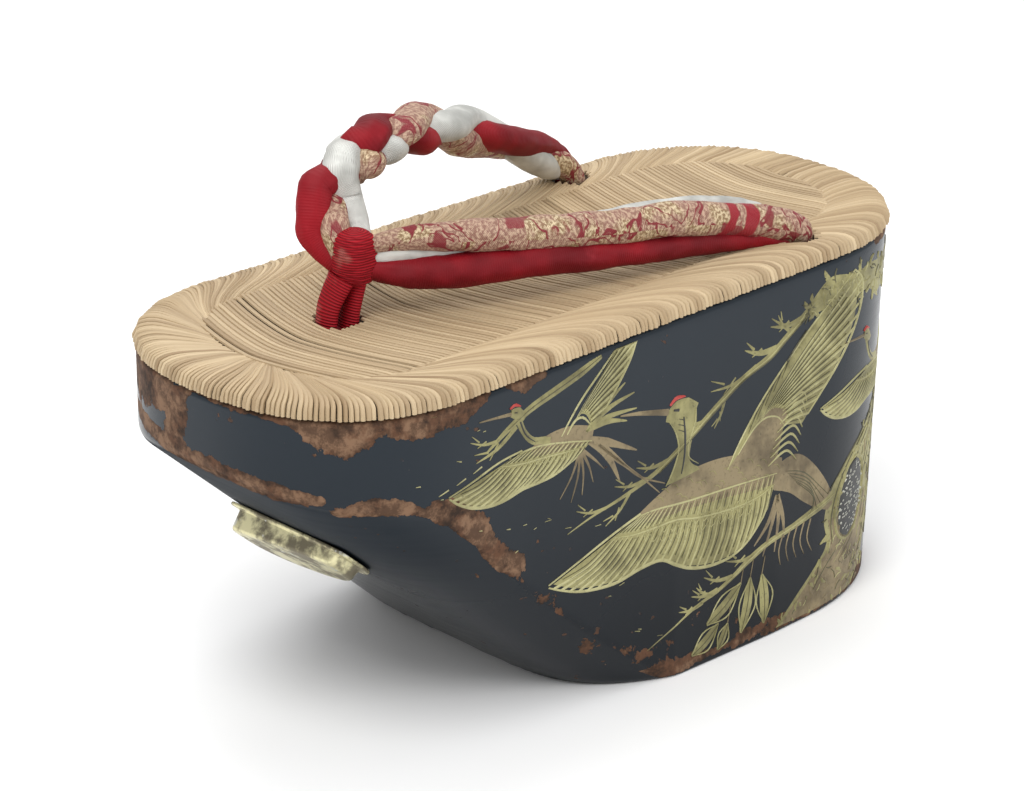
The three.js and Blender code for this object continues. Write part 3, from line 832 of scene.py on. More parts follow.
def border_path(girth, overhang, sweep, dip):
    """From the rim, over its rounding and inward, bending to run along the edge."""
    x, y = plan_point(TOP_PLAN, *way_of(girth), -overhang)
    ahead, behind = (wall_line(girth + d)[0] for d in (1, -1))
    upward = Vector((0, 0, 1))
    outward = (ahead - behind).cross(upward).normalized()
    foot = rim_z(y) + MAT["seam"]
    path = [(Vector((x, y, foot + 0.15)), outward),
            (Vector((x, y, foot + 1.1)), (outward + upward * 0.3).normalized())]
    for share in BORDER_SHARES:
        depth = share * BORDER
        point = border_point(girth, depth, sweep)
        up = (outward * max(0.0, 1 - depth / MAT["round"]) + upward).normalized()
        point.z -= dip * soft_step(0.8, 1.0, share)
        path.append((point, up))
    return path


def make_border():
    random.seed(11)
    bm = new_form()
    count = round(2 * HALF_GIRTH / STRIP_PITCH)
    for i in range(count):
        girth = -HALF_GIRTH + 2 * HALF_GIRTH * (i + 0.5) / count
        along = abs(girth) / HALF_GIRTH
        sweep = SWEEP * math.sin(math.pi * along) ** 0.8 * random.uniform(0.96, 1.04)
        girth += random.uniform(-0.16, 0.16)
        high = random.uniform(0.34, 0.72)
        width = STRIP_PITCH * random.uniform(0.78, 1.02)
        tone = min(max(random.gauss(0.58, 0.2), 0.0), 1.0)
        if random.random() < 0.06:
            tone *= 0.3
        lay_strip(bm, border_path(girth, random.uniform(-0.15, 0.4), sweep, 0.5), width, high, tone)
    piece = finish_object("mat_border_strips", bm, 50)
    print(piece.name, count, "strips,", len(piece.data.polygons), "faces")
    return piece


# %% The strips across the middle
FIELD_BOW, FIELD_BOW_HALF = 9.0, 36
FIELD_PITCH, FIELD_STEPS = 1.5, 28


def field_half(y):
    """Half width of the oval inside the border."""
    inset = BORDER - 1.2
    toe_start, heel_start = TOE_Y + TOP_PLAN["toe_arc"], HEEL_Y - TOP_PLAN["heel_arc"]
    half = read_table(TOP_PLAN["half"], y) - inset
    if toe_start <= y <= heel_start:
        return half
    end, past = ("toe", toe_start - y) if y < toe_start else ("heel", y - heel_start)
    reach, power = past / (TOP_PLAN[end + "_arc"] - inset), TOP_PLAN[end + "_power"]
    return half * max(1 - reach ** power, 0.0) ** (1 / power)


def bowed_y(base, x):
    return base + FIELD_BOW * (abs(x) / FIELD_BOW_HALF) ** 1.5


def field_point(base, share):
    """A strip across the foot: share runs -1 to 1 from side to side of the inner oval."""
    low, high = 0.0, 60.0
    for _ in range(20):
        reach = (low + high) / 2
        if reach < field_half(bowed_y(base, reach)):
            low = reach
        else:
            high = reach
    y = bowed_y(base, low * share)
    return Vector((low * share, y, mat_z(y, BORDER)))


def make_field():
    random.seed(5)
    bm = new_form()
    base, laid = TOE_Y + BORDER + 0.5, 0
    while base < HEEL_Y - BORDER - 1:
        path = []
        dip = random.uniform(0, 0.12)
        for k in range(FIELD_STEPS + 1):
            share = -1 + 2 * k / FIELD_STEPS
            point = field_point(base, share)
            point.z -= 0.3 * soft_step(0.9, 1.0, abs(share)) + dip
            path.append((point, Vector((0, 0, 1))))
        tone = min(max(random.gauss(0.5, 0.18), 0.0), 1.0)
        lay_strip(bm, path, FIELD_PITCH * random.uniform(0.8, 1.0), random.uniform(0.3, 0.55), tone)
        base += FIELD_PITCH * random.uniform(0.92, 1.08) + (0.35 if random.random() < 0.06 else 0)
        laid += 1
    piece = finish_object("mat_field_strips", bm, 50)
    print(piece.name, laid, "strips,", len(piece.data.polygons), "faces")
    return piece


mat_border, mat_field = make_border(), make_field()
dress(mat_border, STRAW, "footbed")
dress(mat_field, STRAW)

# %% [markdown]
# ## The cloths of the strap
#
# Each arm of the strap holds three padded cords: plain red silk with fine cross ribs, a silver
# weave, and a brocade whose pink ground carries gold yarn and curling red outlines. The weaves
# read the cord's own UV map, in metres along and in turns round, so they follow every bend.


# %% Silk and brocade
def red_silk_paint():
    paint = Paint("red_silk")
    along = paint.split(paint.uv())[1]
    ribs = along.wave(0.62 * MM) * 0.5 + 0.5
    crush = paint.noise(120, 4, 0.6)
    fade = paint.noise(34, 3, 0.6)
    red = paint.blend(fade.step(0.35, 0.7), (0.125, 0.001, 0.005), (0.285, 0.003, 0.010))
    dusty = paint.blend(crush.step(0.6, 0.85) * 0.3, red, (0.46, 0.045, 0.06))
    paint.bump(ribs * 0.25 + crush * 0.9, 0.2)
    return paint.set(Base_Color=dusty, Roughness=0.5 + crush * 0.2, Specular_IOR_Level=0.22)


def silver_paint():
    paint = Paint("silver_weave")
    across, along, _ = paint.split(paint.uv())
    weave = along.wave(0.5 * MM) * across.wave(1 / 44)
    fold = paint.noise(90, 3, 0.55)
    glint = paint.noise(700, 2, 0.6)
    grey = paint.blend(fold.step(0.3, 0.7), (0.38, 0.38, 0.355), (0.66, 0.66, 0.62))
    paint.bump(weave * 0.5 + fold * 0.8, 0.12)
    return paint.set(Base_Color=grey, Roughness=0.4 + glint * 0.2, Metallic=0.2)


def brocade_paint():
    paint = Paint("brocade")
    uv = paint.uv(0.024, 1)
    across, along, _ = paint.split(paint.uv())
    weave = along.wave(0.55 * MM) * across.wave(1 / 40)
    ripple = paint.node("ShaderNodeTexNoise", inputs={"Vector": uv, "Scale": 150.0, "Detail": 2.0},
                        output="Color")
    bend = paint.node("ShaderNodeVectorMath", {"operation": "MULTIPLY_ADD"},
                      [ripple, (0.006, 0.006, 0), uv])
    curl = paint.noise(85, 2.5, 0.55, at=bend, distort=1.1)
    scroll = 1 - (curl - 0.5).maths("ABSOLUTE").step(0.010, 0.026)
    flower = paint.noise(70, 2, 0.5, at=bend).step(0.60, 0.625)
    outline = scroll.either(flower * 0.9)
    gold = paint.noise(95, 2, 0.5, at=bend).step(0.5, 0.6)
    yarn = paint.noise(1100, 2, 0.6, at=uv).step(0.42, 0.6)
    ground = paint.blend(yarn, (0.27, 0.135, 0.095), (0.50, 0.335, 0.235))
    gilt = paint.blend(yarn, (0.26, 0.16, 0.075), (0.66, 0.53, 0.34))
    cloth = paint.blend(gold, ground, gilt)
    patterned = paint.blend(outline, cloth, (0.21, 0.014, 0.020))
    band = paint.mark("band")
    banded = paint.blend(band.step(0.35, 0.65), patterned, (0.28, 0.004, 0.013))
    crush = paint.noise(110, 3, 0.6)
    paint.bump(weave * 0.5 + crush * 0.8 + outline * 0.35, 0.16)
    return paint.set(Base_Color=banded, Roughness=0.6 - gold * yarn * 0.25, Metallic=gold * yarn * 0.45)


RED_SILK, SILVER, BROCADE = red_silk_paint(), silver_paint(), brocade_paint()

# %% [markdown]
# ## Padded cords
#
# A cord is a ring swept along a smooth line. The line passes through listed points, and a
# frame carried along it without twisting keeps the weave straight. Small crosswise creases make
# it a filled cloth tube and not a pipe.


# %% Sweep a cord
def smooth_path(rows, steps):
    """Catmull-Rom through rows of (x, y, z, r), as points and radii."""
    made = []
    for i in range(steps + 1):
        at = i / steps * (len(rows) - 1)
        k = min(int(at), len(rows) - 2)
        t = at - k
        a, b, c, d = (rows[min(max(j, 0), len(rows) - 1)] for j in (k - 1, k, k + 1, k + 2))
        made.append(tuple(
            0.5 * (2 * b[n] + (c[n] - a[n]) * t + (2 * a[n] - 5 * b[n] + 4 * c[n] - d[n]) * t * t
                   + (3 * b[n] - 3 * c[n] + d[n] - a[n]) * t ** 3) for n in range(len(b))))
    return made


def cord_rings(rows, steps, sides=32, crease=0.09, seed=0.0, flat=1.0, face=None):
    """face is the way that a flattened cord shows its broad side."""
    samples = smooth_path(rows, steps)
    points = [Vector(s[:3]) for s in samples]
    side_way, rings = Vector((1, 0, 0)), []
    for i, point in enumerate(points):
        forward = (points[min(i + 1, steps)] - points[max(i - 1, 0)]).normalized()
        side_way = (side_way - forward * side_way.dot(forward)).normalized()
        if face:
            side_way = face.cross(forward).normalized()
        other = forward.cross(side_way)
        ring = []
        for k in range(sides):
            turn = 2 * math.pi * k / sides
            c, s = math.cos(turn), math.sin(turn)
            spot = Vector((point.x * 0.11 + seed, point.y * 0.11, point.z * 0.11 + turn * 0.5))
            folds = noise.noise(Vector((i * 0.17 + seed * 7, c * 1.8, s * 1.8)))
            radius = samples[i][3] * (1 + crease * folds + 0.05 * noise.noise(spot))
            ring.append(point + side_way * (radius * c) + other * (radius * flat * s))
        rings.append(ring)
    return rings


# %% [markdown]
# ### The inner arm
#
# The inner arm is a loose plait of the three cords that arches high over the foot. Its strands
# swing out and in once, and over and under twice, in each turn, a third of a turn apart. Near
# the toe the red strand hangs out in a loop of its own.

# %% Plait the inner arm
# x, y, z, radius, spread, phase in degrees, slack of the red strand
INNER_ARM = (
    (-2.6, -61, 117, 2.4, 1.6, -160, 2.5), (-7.2, -59.6, 124.5, 3.3, 3.0, -140, 9.2),
    (-12.2, -56, 132, 3.8, 3.0, -100, 9.2), (-16, -49.5, 138.2, 4.1, 2.7, 0, 2),
    (-18.8, -34.5, 141.0, 4.3, 2.5, 180, 0), (-25.5, -14, 137.6, 4.3, 2.5, 305, 0),
    (-33, 7, 130.2, 4.2, 2.5, 405, 0), (-38, 27, 121.8, 4.0, 2.3, 450, 0),
    (-40.8, 43, 113.8, 3.6, 2.1, 505, 0), (-41, 51.2, 108.2, 3.0, 1.8, 560, 0),
    (-40.2, 54, 99.5, 2.5, 1.7, 600, 0), (-37.8, 54, 90, 2.5, 1.7, 610, 0),
)
PLAIT_LAG = {"brocade": -150, "silver": 90, "red": -30}
PLAIT_DEPTH = 0.95
ARM_FACE = Vector((0.76, -0.64, 0))
CLOTHS = {"brocade": BROCADE, "silver": SILVER, "red": RED_SILK}


def plaited_rows(name, steps=72):
    line = smooth_path(INNER_ARM, steps)
    rows = []
    for i in range(steps + 1):
        at = i / steps * (len(INNER_ARM) - 1)
        k = min(int(at), len(INNER_ARM) - 2)
        before, after = INNER_ARM[k], INNER_ARM[k + 1]
        radius, spread, phase, slack = (mix(before[n], after[n], at - k) for n in (3, 4, 5, 6))
        ahead, behind = Vector(line[min(i + 1, steps)][:3]), Vector(line[max(i - 1, 0)][:3])
        tangent = (ahead - behind).normalized()
        face = (ARM_FACE - tangent * ARM_FACE.dot(tangent)).normalized()
        outward = face.cross(tangent)
        turn = math.radians(phase + PLAIT_LAG[name])
        swing = spread * math.sin(turn) + (slack if name == "red" else 0)
        centre = Vector(line[i][:3]) + outward * swing
        centre += face * (PLAIT_DEPTH * spread * math.sin(2 * turn))
        rows.append((*centre, radius))
    return rows


def cloth_piece(name, rings, cloth, node=None):
    piece = ring_piece(name, rings, smooth_angle=80)
    dress(piece, CLOTHS[cloth], node)
    return piece


BROAD_WAY = ARM_FACE.cross(Vector((0, 0, 1)))
for number, cloth in enumerate(CLOTHS):
    rings = cord_rings(plaited_rows(cloth), 210, seed=number + 1.3, crease=0.08, flat=1.22,
                       face=BROAD_WAY)
    arm = cloth_piece(f"inner_arm_{cloth}", rings, cloth, "strap" if cloth == "brocade" else None)

# %% The outer arm
# x, y, z, radius of each strand, from under the wrap to inside the rear hole
OX, OY = OUTER_HOLE["x"], OUTER_HOLE["y"]
OUTER_ARM = {
    "brocade": ((-0.6, -60.5, 121.4, 1.9), (5, -51.5, 122.8, 3), (11, -39.6, 122.4, 4),
                (18.6, -19, 120.4, 4.5), (25, 3.4, 118.4, 4.6), (29.6, 23, 117.4, 4.6),
                (33.8, 43.8, 113.6, 4.5), (35.8, 56, 110.2, 4.5), (OX + 0.6, OY + 1.2, 106.4, 4.3),
                (OX - 0.4, OY + 2.2, 100, 2.9), (OX - 2, OY + 2.4, 90, 2.6)),
    "silver": ((-1.2, -61, 118.6, 1.8), (4.6, -51.5, 118.8, 2.4), (9, -39.6, 118.6, 2.8),
               (14.2, -20, 118.6, 3), (19.8, 3, 118.4, 3.1), (24, 22, 118.4, 3.1),
               (28, 42.9, 116, 3), (31.2, 55, 111.6, 2.9), (OX - 2.8, OY - 1, 103.5, 2.8),
               (OX - 4.2, OY - 1, 90, 2.6)),
    "red": ((-0.8, -60.6, 115.8, 2.4), (5.6, -51.5, 114.2, 4), (11.7, -40.3, 113.4, 4.5),
            (19.6, -19.8, 113.4, 4.3), (26, 2, 111.6, 3.8), (30.2, 21, 110.2, 3.4),
            (33.6, 41, 108.4, 2.9), (35.6, 53, 106.2, 2.6), (OX + 0.8, OY - 1.6, 101.5, 2.5),
            (OX - 0.6, OY - 2, 90, 2.5)),
}
# red bands woven across the brocade: y at which each lies, and its half width
RED_BANDS = ((37.2, 1.6), (44.2, 2.4))


def mark_bands(piece):
    """Writes the share of red band at each point of the cord; the bands lean back as they rise."""
    share = piece.data.attributes.new("band", "FLOAT", "POINT")
    for vert, cell in zip(piece.data.vertices, share.data):
        spot = vert.co / MM
        along = spot.y - 0.45 * (spot.z - 114)
        cell.value = max(1 - soft_step(0.7, 1.3, abs(along - y) / half) for y, half in RED_BANDS)


for number, (cloth, rows) in enumerate(OUTER_ARM.items()):
    arm = cloth_piece(f"outer_arm_{cloth}", cord_rings(rows, 200, seed=number + 9.1), cloth)
    if cloth == "brocade":
        mark_bands(arm)


# %% [markdown]
# ### Tails and knots under the block
#
# The rear ends go down through their holes and are tied in the roof of the hollow. Nobody sees
# them while the shoe is worn, so a plain rolled knot of the red cloth is true enough.

# %% Rear knots
KNOT = {"radius": 8.0, "half": 5.0, "z": 62.7}


def knot_rings(hole, rows=25, sides=36):
    """A ball with three lobes that wind round it."""
    centre, rings = hole_centre(hole, KNOT["z"]), []
    for k in range(rows):
        lift = -math.pi / 2 + math.pi * (k + 0.5) / rows
        ring = []
        for i in range(sides):
            turn = 2 * math.pi * i / sides
            wide = KNOT["radius"] * (1 + 0.07 * math.sin(3 * turn + 4 * lift)) * math.cos(lift)
            ring.append(centre + Vector((wide * math.cos(turn), wide * math.sin(turn),
                                         KNOT["half"] * math.sin(lift))))
        rings.append(ring)
    return rings


for place, hole in (("inner", INNER_HOLE), ("outer", OUTER_HOLE)):
    tail = [hole_ring(hole, z, hole["radius"] - 0.6) for z in (60, 70, 80, 90, 102)]
    cloth_piece(f"{place}_tail", tail, "red")
    cloth_piece(f"{place}_knot", knot_rings(hole), "red")

# %% [markdown]
# ## The toe thong
#
# A ribbed red band stands between the toes: doubled, it goes down through the front hole, and at
# the top it is wound round the meeting of the two arms. Its edges are rubbed to a dusty pink.


# %% Thong finish
def thong_paint():
    paint = Paint("ribbed_band")
    along = paint.split(paint.uv())[1]
    ribs = along.wave(0.75 * MM) * 0.5 + 0.5
    rub = paint.noise(70, 3, 0.6)
    # painted shade: the colour follows the ribs, darker in their grooves and paler on their crests
    red = paint.blend(ribs, (0.17, 0.0015, 0.006), (0.38, 0.006, 0.014))
    faded = paint.blend(rub.step(0.55, 0.66) * 0.55, red, (0.42, 0.16, 0.13))
    paint.bump(ribs + rub * 0.5, 0.22)
    return paint.set(Base_Color=faded, Roughness=0.66, Specular_IOR_Level=0.2)


RIBBED = thong_paint()

# %% Legs, wrap and tail
# x, y, z, half width
THONG_LEGS = {
    "front": ((-4.4, -69.2, 94, 3.6), (-4.6, -68.6, 101.5, 3.7), (-4.5, -67.4, 107, 3.9),
              (-3.2, -64.6, 113.5, 4.6)),
    "rear": ((-2.6, -64, 94, 3.4), (-2.4, -63.2, 101.5, 3.6), (-2.2, -62.4, 107, 3.8),
             (-2, -61, 113.5, 4.2)),
}
WRAP = {"centre": Vector((-2.2, -61, 118.4)), "half": Vector((5.7, 5.5, 7.4)), "rib": 1.1,
        "upright_power": 3.0, "plan_power": 2.5}
# height and radius of each ring of the knot in the pocket
TOE_KNOT = ((56.9, 4.5), (57.3, 5.8), (58.4, 6.5), (61.4, 6.5), (62.3, 5.8), (62.7, 4.5))


def wrap_rings(rows=73, sides=56):
    """Ribs wound a little aslant into a squarish bundle."""
    rings = []
    for k in range(rows):
        lift = -math.pi / 2 + math.pi * (k + 0.5) / rows
        level = WRAP["half"].z * squared(math.sin(lift), WRAP["upright_power"])
        wide = squared(math.cos(lift), WRAP["upright_power"])
        ring = []
        for i in range(sides):
            turn = 2 * math.pi * i / sides
            c, s = (squared(wave, WRAP["plan_power"]) for wave in (math.cos(turn), math.sin(turn)))
            aslant = level + 0.9 * math.sin(turn + 0.6)
            rib = 0.2 * math.cos(2 * math.pi * aslant / WRAP["rib"])
            x, y = (WRAP["half"].x + rib) * wide * c, (WRAP["half"].y + rib) * wide * s
            ring.append(WRAP["centre"] + Vector((x, y, level)))
        rings.append(ring)
    return rings


def thong_piece(name, rings, node=None):
    dress(ring_piece(name, rings, smooth_angle=80), RIBBED, node)


thong_piece("toe_wrap", wrap_rings(), "toe_thong")
for place, rows in THONG_LEGS.items():
    thong_piece(f"toe_leg_{place}", cord_rings(rows, 46, 30, crease=0.03, seed=3.0, flat=0.5))
tail_radius = FRONT_HOLE["radius"] - 0.3
thong_piece("toe_tail", [hole_ring(FRONT_HOLE, z, tail_radius) for z in (57, 70, 85, 100)])
thong_piece("toe_knot", [hole_ring(FRONT_HOLE, z, radius) for z, radius in TOE_KNOT])

# %% [markdown]
# ## The gilt cover
#
# Under the toe a small metal box, half-moon in plan and open to the wood, hides the front knot.
# Its gilding is worn: pale gold where it is rubbed bright, grey-brown where it has tarnished.

# %% Gilt finish and cover
COVER = {"x": 1.4, "y": -83.6, "half": 19.2, "up": 5.6, "up_power": 7.0, "down": 13.5,
         "down_power": 2.6, "flange_x": 3.2, "flange_y": 1.4, "taper": 0.3, "sheet": 0.9,
         "deep_inner": 6.8, "deep_outer": 4.2, "edge": 1.2, "gap": 0.3}
SLOPE_ANGLE = math.atan(SLOPE_FALL)


def gilt_paint():
    paint = Paint("worn_gilt")
    tarnish = paint.noise(120, 5, 0.65)
    pits = paint.noise(800, 2, 0.6)
    rubbed = tarnish.step(0.42, 0.6)
    gilt = paint.blend(rubbed, (0.20, 0.175, 0.115), (0.74, 0.69, 0.42))
    bare = paint.noise(210, 3, 0.6).step(0.63, 0.67)
    gilt = paint.blend(bare * 0.8, gilt, (0.62, 0.62, 0.56))
    paint.bump(tarnish * 0.6 + pits * 0.3, 0.18)
    return paint.set(Base_Color=gilt, Metallic=0.55 + rubbed * 0.4, Roughness=0.52 - rubbed * 0.2)


def cover_ring(grow_x, grow_y, height, steps=120):
    """A half-moon outline; height is a number or a function of x."""
    ring = []
    for i in range(steps):
        turn = 2 * math.pi * (i + 0.5) / steps
        c, s = math.cos(turn), math.sin(turn)
        end = "up" if s > 0 else "down"
        power, reach = COVER[end + "_power"], COVER[end]
        x, y = (COVER["half"] + grow_x) * squared(c, power), (reach + grow_y) * squared(s, power)
        ring.append(Vector((x, y, height(x) if callable(height) else height)))
    return ring


def depth_at(x, less=0.0):
    """How deep the box is: it is deeper toward the inner side."""
    return mix(COVER["deep_inner"], COVER["deep_outer"], (x / COVER["half"] + 1) / 2) - less


def cover_rings():
    """From the inside of the box, round its open edge and flange, and over its face."""
    sheet, edge, taper = COVER["sheet"], COVER["edge"], COVER["taper"]
    flange_x, flange_y = COVER["flange_x"], COVER["flange_y"]
    rings = [
        cover_ring(-sheet - edge, -sheet - edge, lambda x: depth_at(x, sheet)),
        cover_ring(-sheet - 0.1, -sheet - 0.1, 1.0), cover_ring(-sheet, -sheet, 0.0),
        cover_ring(flange_x - 0.2, flange_y - 0.2, 0.0), cover_ring(flange_x, flange_y, 0.2),
        cover_ring(flange_x, flange_y, sheet - 0.25),
        cover_ring(flange_x - 0.25, flange_y - 0.25, sheet),
        cover_ring(0.35, 0.35, sheet), cover_ring(0.05, 0.05, sheet + 0.3),
        cover_ring(-taper, -taper, lambda x: depth_at(x, edge)),
    ]
    for k in range(1, 5):
        turn = math.pi / 2 * k / 4
        inward = taper + (edge - taper) * (1 - math.cos(turn))
        less = edge * (1 - math.sin(turn))
        rings.append(cover_ring(-inward, -inward, lambda x, less=less: depth_at(x, less)))
    rings.append(cover_ring(-4, -3, lambda x: depth_at(x) + 0.08))
    rings.append(cover_ring(-9, -5, lambda x: depth_at(x) + 0.12))
    return rings


def place_cover(ring):
    """Lays a ring of the cover on the slope: its up is the slope's outward direction."""
    outward = Vector((0, -math.sin(SLOPE_ANGLE), -math.cos(SLOPE_ANGLE)))
    uphill = Vector((0, -math.cos(SLOPE_ANGLE), math.sin(SLOPE_ANGLE)))
    origin = Vector((COVER["x"], COVER["y"], slope_z(0, COVER["y"]))) + outward * COVER["gap"]
    return [origin + Vector((p.x, 0, 0)) + uphill * p.y + outward * p.z for p in ring]


cover = ring_piece("toe_knot_cover_gilt", [place_cover(r) for r in cover_rings()], smooth_angle=35)
dress(cover, gilt_paint(), "toe_knot_cover")

# %% [markdown]
# ## Gold pictures on the lacquer
#
# Cranes and pine are old good-luck motifs, painted in raised gold. A brush lays down strokes that
# swell and thin, so our brush does too: a stroke is a thin domed strip that hugs the wall, given
# by a few points of girth and height in millimetres. Broad shapes are patches between two lines.


# %% Gold finishes
def gold_paint(name, dark, light, metallic, rough):
    paint = Paint(name)
    dust = paint.noise(1000, 2, 0.6)
    wash = paint.noise(70, 4, 0.65)
    tint = paint.blend(wash.step(0.36, 0.64), dark, light)
    speckled = paint.blend(dust.step(0.56, 0.78) * 0.55, tint, tuple(c * 0.3 for c in dark))
    paint.bump(dust * 0.5 + wash * 0.5, 0.08)
    return paint.set(Base_Color=speckled, Metallic=metallic, Roughness=rough + dust * 0.12)


GOLDS = {
    "gold": gold_paint("gold_dust", (0.145, 0.130, 0.048), (0.31, 0.285, 0.118), 0.2, 0.4),
    "pale": gold_paint("pale_gold", (0.27, 0.25, 0.11), (0.42, 0.395, 0.195), 0.15, 0.4),
    "white": gold_paint("silver_dust", (0.45, 0.45, 0.40), (0.62, 0.62, 0.55), 0.1, 0.4),
    "bronze": gold_paint("bronze_dust", (0.105, 0.078, 0.040), (0.25, 0.195, 0.105), 0.2, 0.48),
    "shade": gold_paint("olive_line", (0.050, 0.046, 0.020), (0.105, 0.096, 0.042), 0.1, 0.45),
    "dark": gold_paint("dark_line", (0.010, 0.011, 0.012), (0.022, 0.022, 0.02), 0.0, 0.4),
    "vermilion": gold_paint("vermilion", (0.33, 0.022, 0.016), (0.48, 0.045, 0.032), 0.0, 0.42),
}

# %% The brush
RAISED, SUNK, DOME = 0.16, -0.12, 0.35
LOWEST_PAINT, THINNEST = 1.2, 0.06
picture = {name: new_form() for name in GOLDS}


def curve_through(points, steps):
    """A smooth line through two-number points."""
    return [Vector(p) for p in smooth_path([tuple(p) for p in points], steps)]


def lay_section(left, right, level, across):
    """A closed section of paint between two points of the wall."""
    spots = [left.lerp(right, k / across) for k in range(across + 1)]
    for spot in spots:
        spot.y = min(max(spot.y, LOWEST_PAINT), wall_line(spot.x)[0].z)
    domes = [(4 * k * (across - k) / across ** 2) ** DOME for k in range(across + 1)]
    top = [wall_at(*spot, mix(SUNK, RAISED * level, dome)) for spot, dome in zip(spots, domes)]
    return top + [wall_at(*spot, SUNK * 2) for spot in spots[-2:0:-1]]


def mirrored(spot, side):
    return Vector((spot.x * side, spot.y))


def brush(colour, points, widths, level, side, across=3, pitch=1.3):
    """One stroke: widths are half widths spread evenly over its length."""
    length = sum(math.dist(a, b) for a, b in zip(points, points[1:]))
    steps = max(4, round(length / pitch))
    line = curve_through(points, steps)
    rings = []
    for i, centre in enumerate(line):
        forward = (line[min(i + 1, steps)] - line[max(i - 1, 0)]).normalized()
        at = i / steps * (len(widths) - 1)
        k = min(int(at), len(widths) - 2)
        half_width = max(mix(widths[k], widths[k + 1], at - k), THINNEST)
        half = Vector((-forward.y, forward.x)) * half_width
        edges = (mirrored(centre - half, side), mirrored(centre + half, side))
        rings.append(lay_section(*edges, level, across))
    add_rings(picture[colour], rings)


def strokes(at, side, rows):
    """Draws rows of colour, points, widths and level, with the points moved by at."""
    for colour, points, widths, level, *finer in rows:
        brush(colour, at(*points), widths, level, side, *finer)


def patch(colour, left, right, level, side, across=8, steps=18):
    """A broad shape between two lines that run the same way."""
    pairs = zip(curve_through(left, steps), curve_through(right, steps))
    add_rings(picture[colour], [lay_section(mirrored(a, side), mirrored(b, side), level, across)
                                for a, b in pairs])


# %% [markdown]
# ### A wing
#
# A wing is drawn as painters do: a wash for its whole shape, then the feathers one by one, each a
# pale line with a darker one beside it. Short feathers cover them near the bone, and a bright
# line goes round the tips and along the bone.


# %% Feathers and wings
PAST_TIPS, LEAST_COVER = 0.7, 0.15


def bowed(start, end, bend):
    """Three points of a stroke that bows to one side by a share of its length."""
    way = end - start
    return start, start.lerp(end, 0.5) + Vector((-way.y, way.x)) * bend, end


def wing(roots, tips, feathers, bend, side, cover):
    """Feathers from the bone line to the tip line; cover is the share under the short feathers."""
    root_line, tip_line = curve_through(roots, feathers), curve_through(tips, feathers)
    pairs = list(zip(root_line, tip_line))
    past_tips = [tip + (tip - root).normalized() * PAST_TIPS for root, tip in pairs]
    patch("gold", root_line, past_tips, 0.8, side, 10, 30)
    covered = cover > LEAST_COVER
    for i, (root, tip) in enumerate(pairs[1:], start=1):
        start, end = root.lerp(root_line[i - 1], 0.5), tip.lerp(tip_line[i - 1], 0.5)
        if i < feathers:
            brush("pale", bowed(root.lerp(tip, cover), tip, bend), (0.15, 0.55, 0.6, 0.5), 1.5, side)
            if covered:
                quill = (root, root.lerp(tip, cover * 0.85))
                brush("pale", quill, (0.15, 0.34, 0.2), 1.6, side, pitch=1.0)
        furrow = bowed(start.lerp(end, cover + 0.05), end.lerp(start, 0.13), bend)
        brush("shade", furrow, (0.1, 0.26, 0.26, 0.1), 1.6, side)
        if covered:
            furrow = (start.lerp(end, 0.05), start.lerp(end, cover * 0.8))
            brush("shade", furrow, (0.1, 0.32, 0.15), 1.35, side, pitch=1.0)
    at_tips = [tip + (root - tip).normalized() * 0.1 for root, tip in pairs[::2]]
    brush("pale", at_tips, (0.3, 0.6, 0.65, 0.6, 0.35), 1.7, side)
    brush("pale", roots, (0.25, 0.5, 0.45, 0.2), 1.8, side)
    if covered:
        under_short = [root.lerp(tip, cover) for root, tip in pairs[::3]]
        brush("pale", under_short, (0.15, 0.4, 0.4, 0.15), 1.75, side)


def scallops(base, reach, count, rows, side):
    """Rows of small round feathers: base is the inner line, reach the way to the next row."""
    step = Vector(reach)
    for row in range(rows):
        line = [point + step * row for point in curve_through(base, count)]
        for start, end in zip(line, line[1:]):
            arc = (start, start.lerp(end, 0.5) + step * 0.9, end)
            brush("pale", arc, (0.12, 0.3, 0.12), 1.9, side, pitch=0.9)


def placed(shift, scale=1.0, about=(0, 0)):
    """A function that moves the points of a drawing to their place on the wall."""
    def at(*points):
        return [Vector(((g - about[0]) * scale + about[0] + shift[0],
                        (z - about[1]) * scale + about[1] + shift[1])) for g, z in points]
    return at


# %% [markdown]
# ### Cranes
#
# The large crane flies toward the toe with its head turned up, one wing raised behind and one
# spread below. The small one has the same build and is drawn again farther round the block.


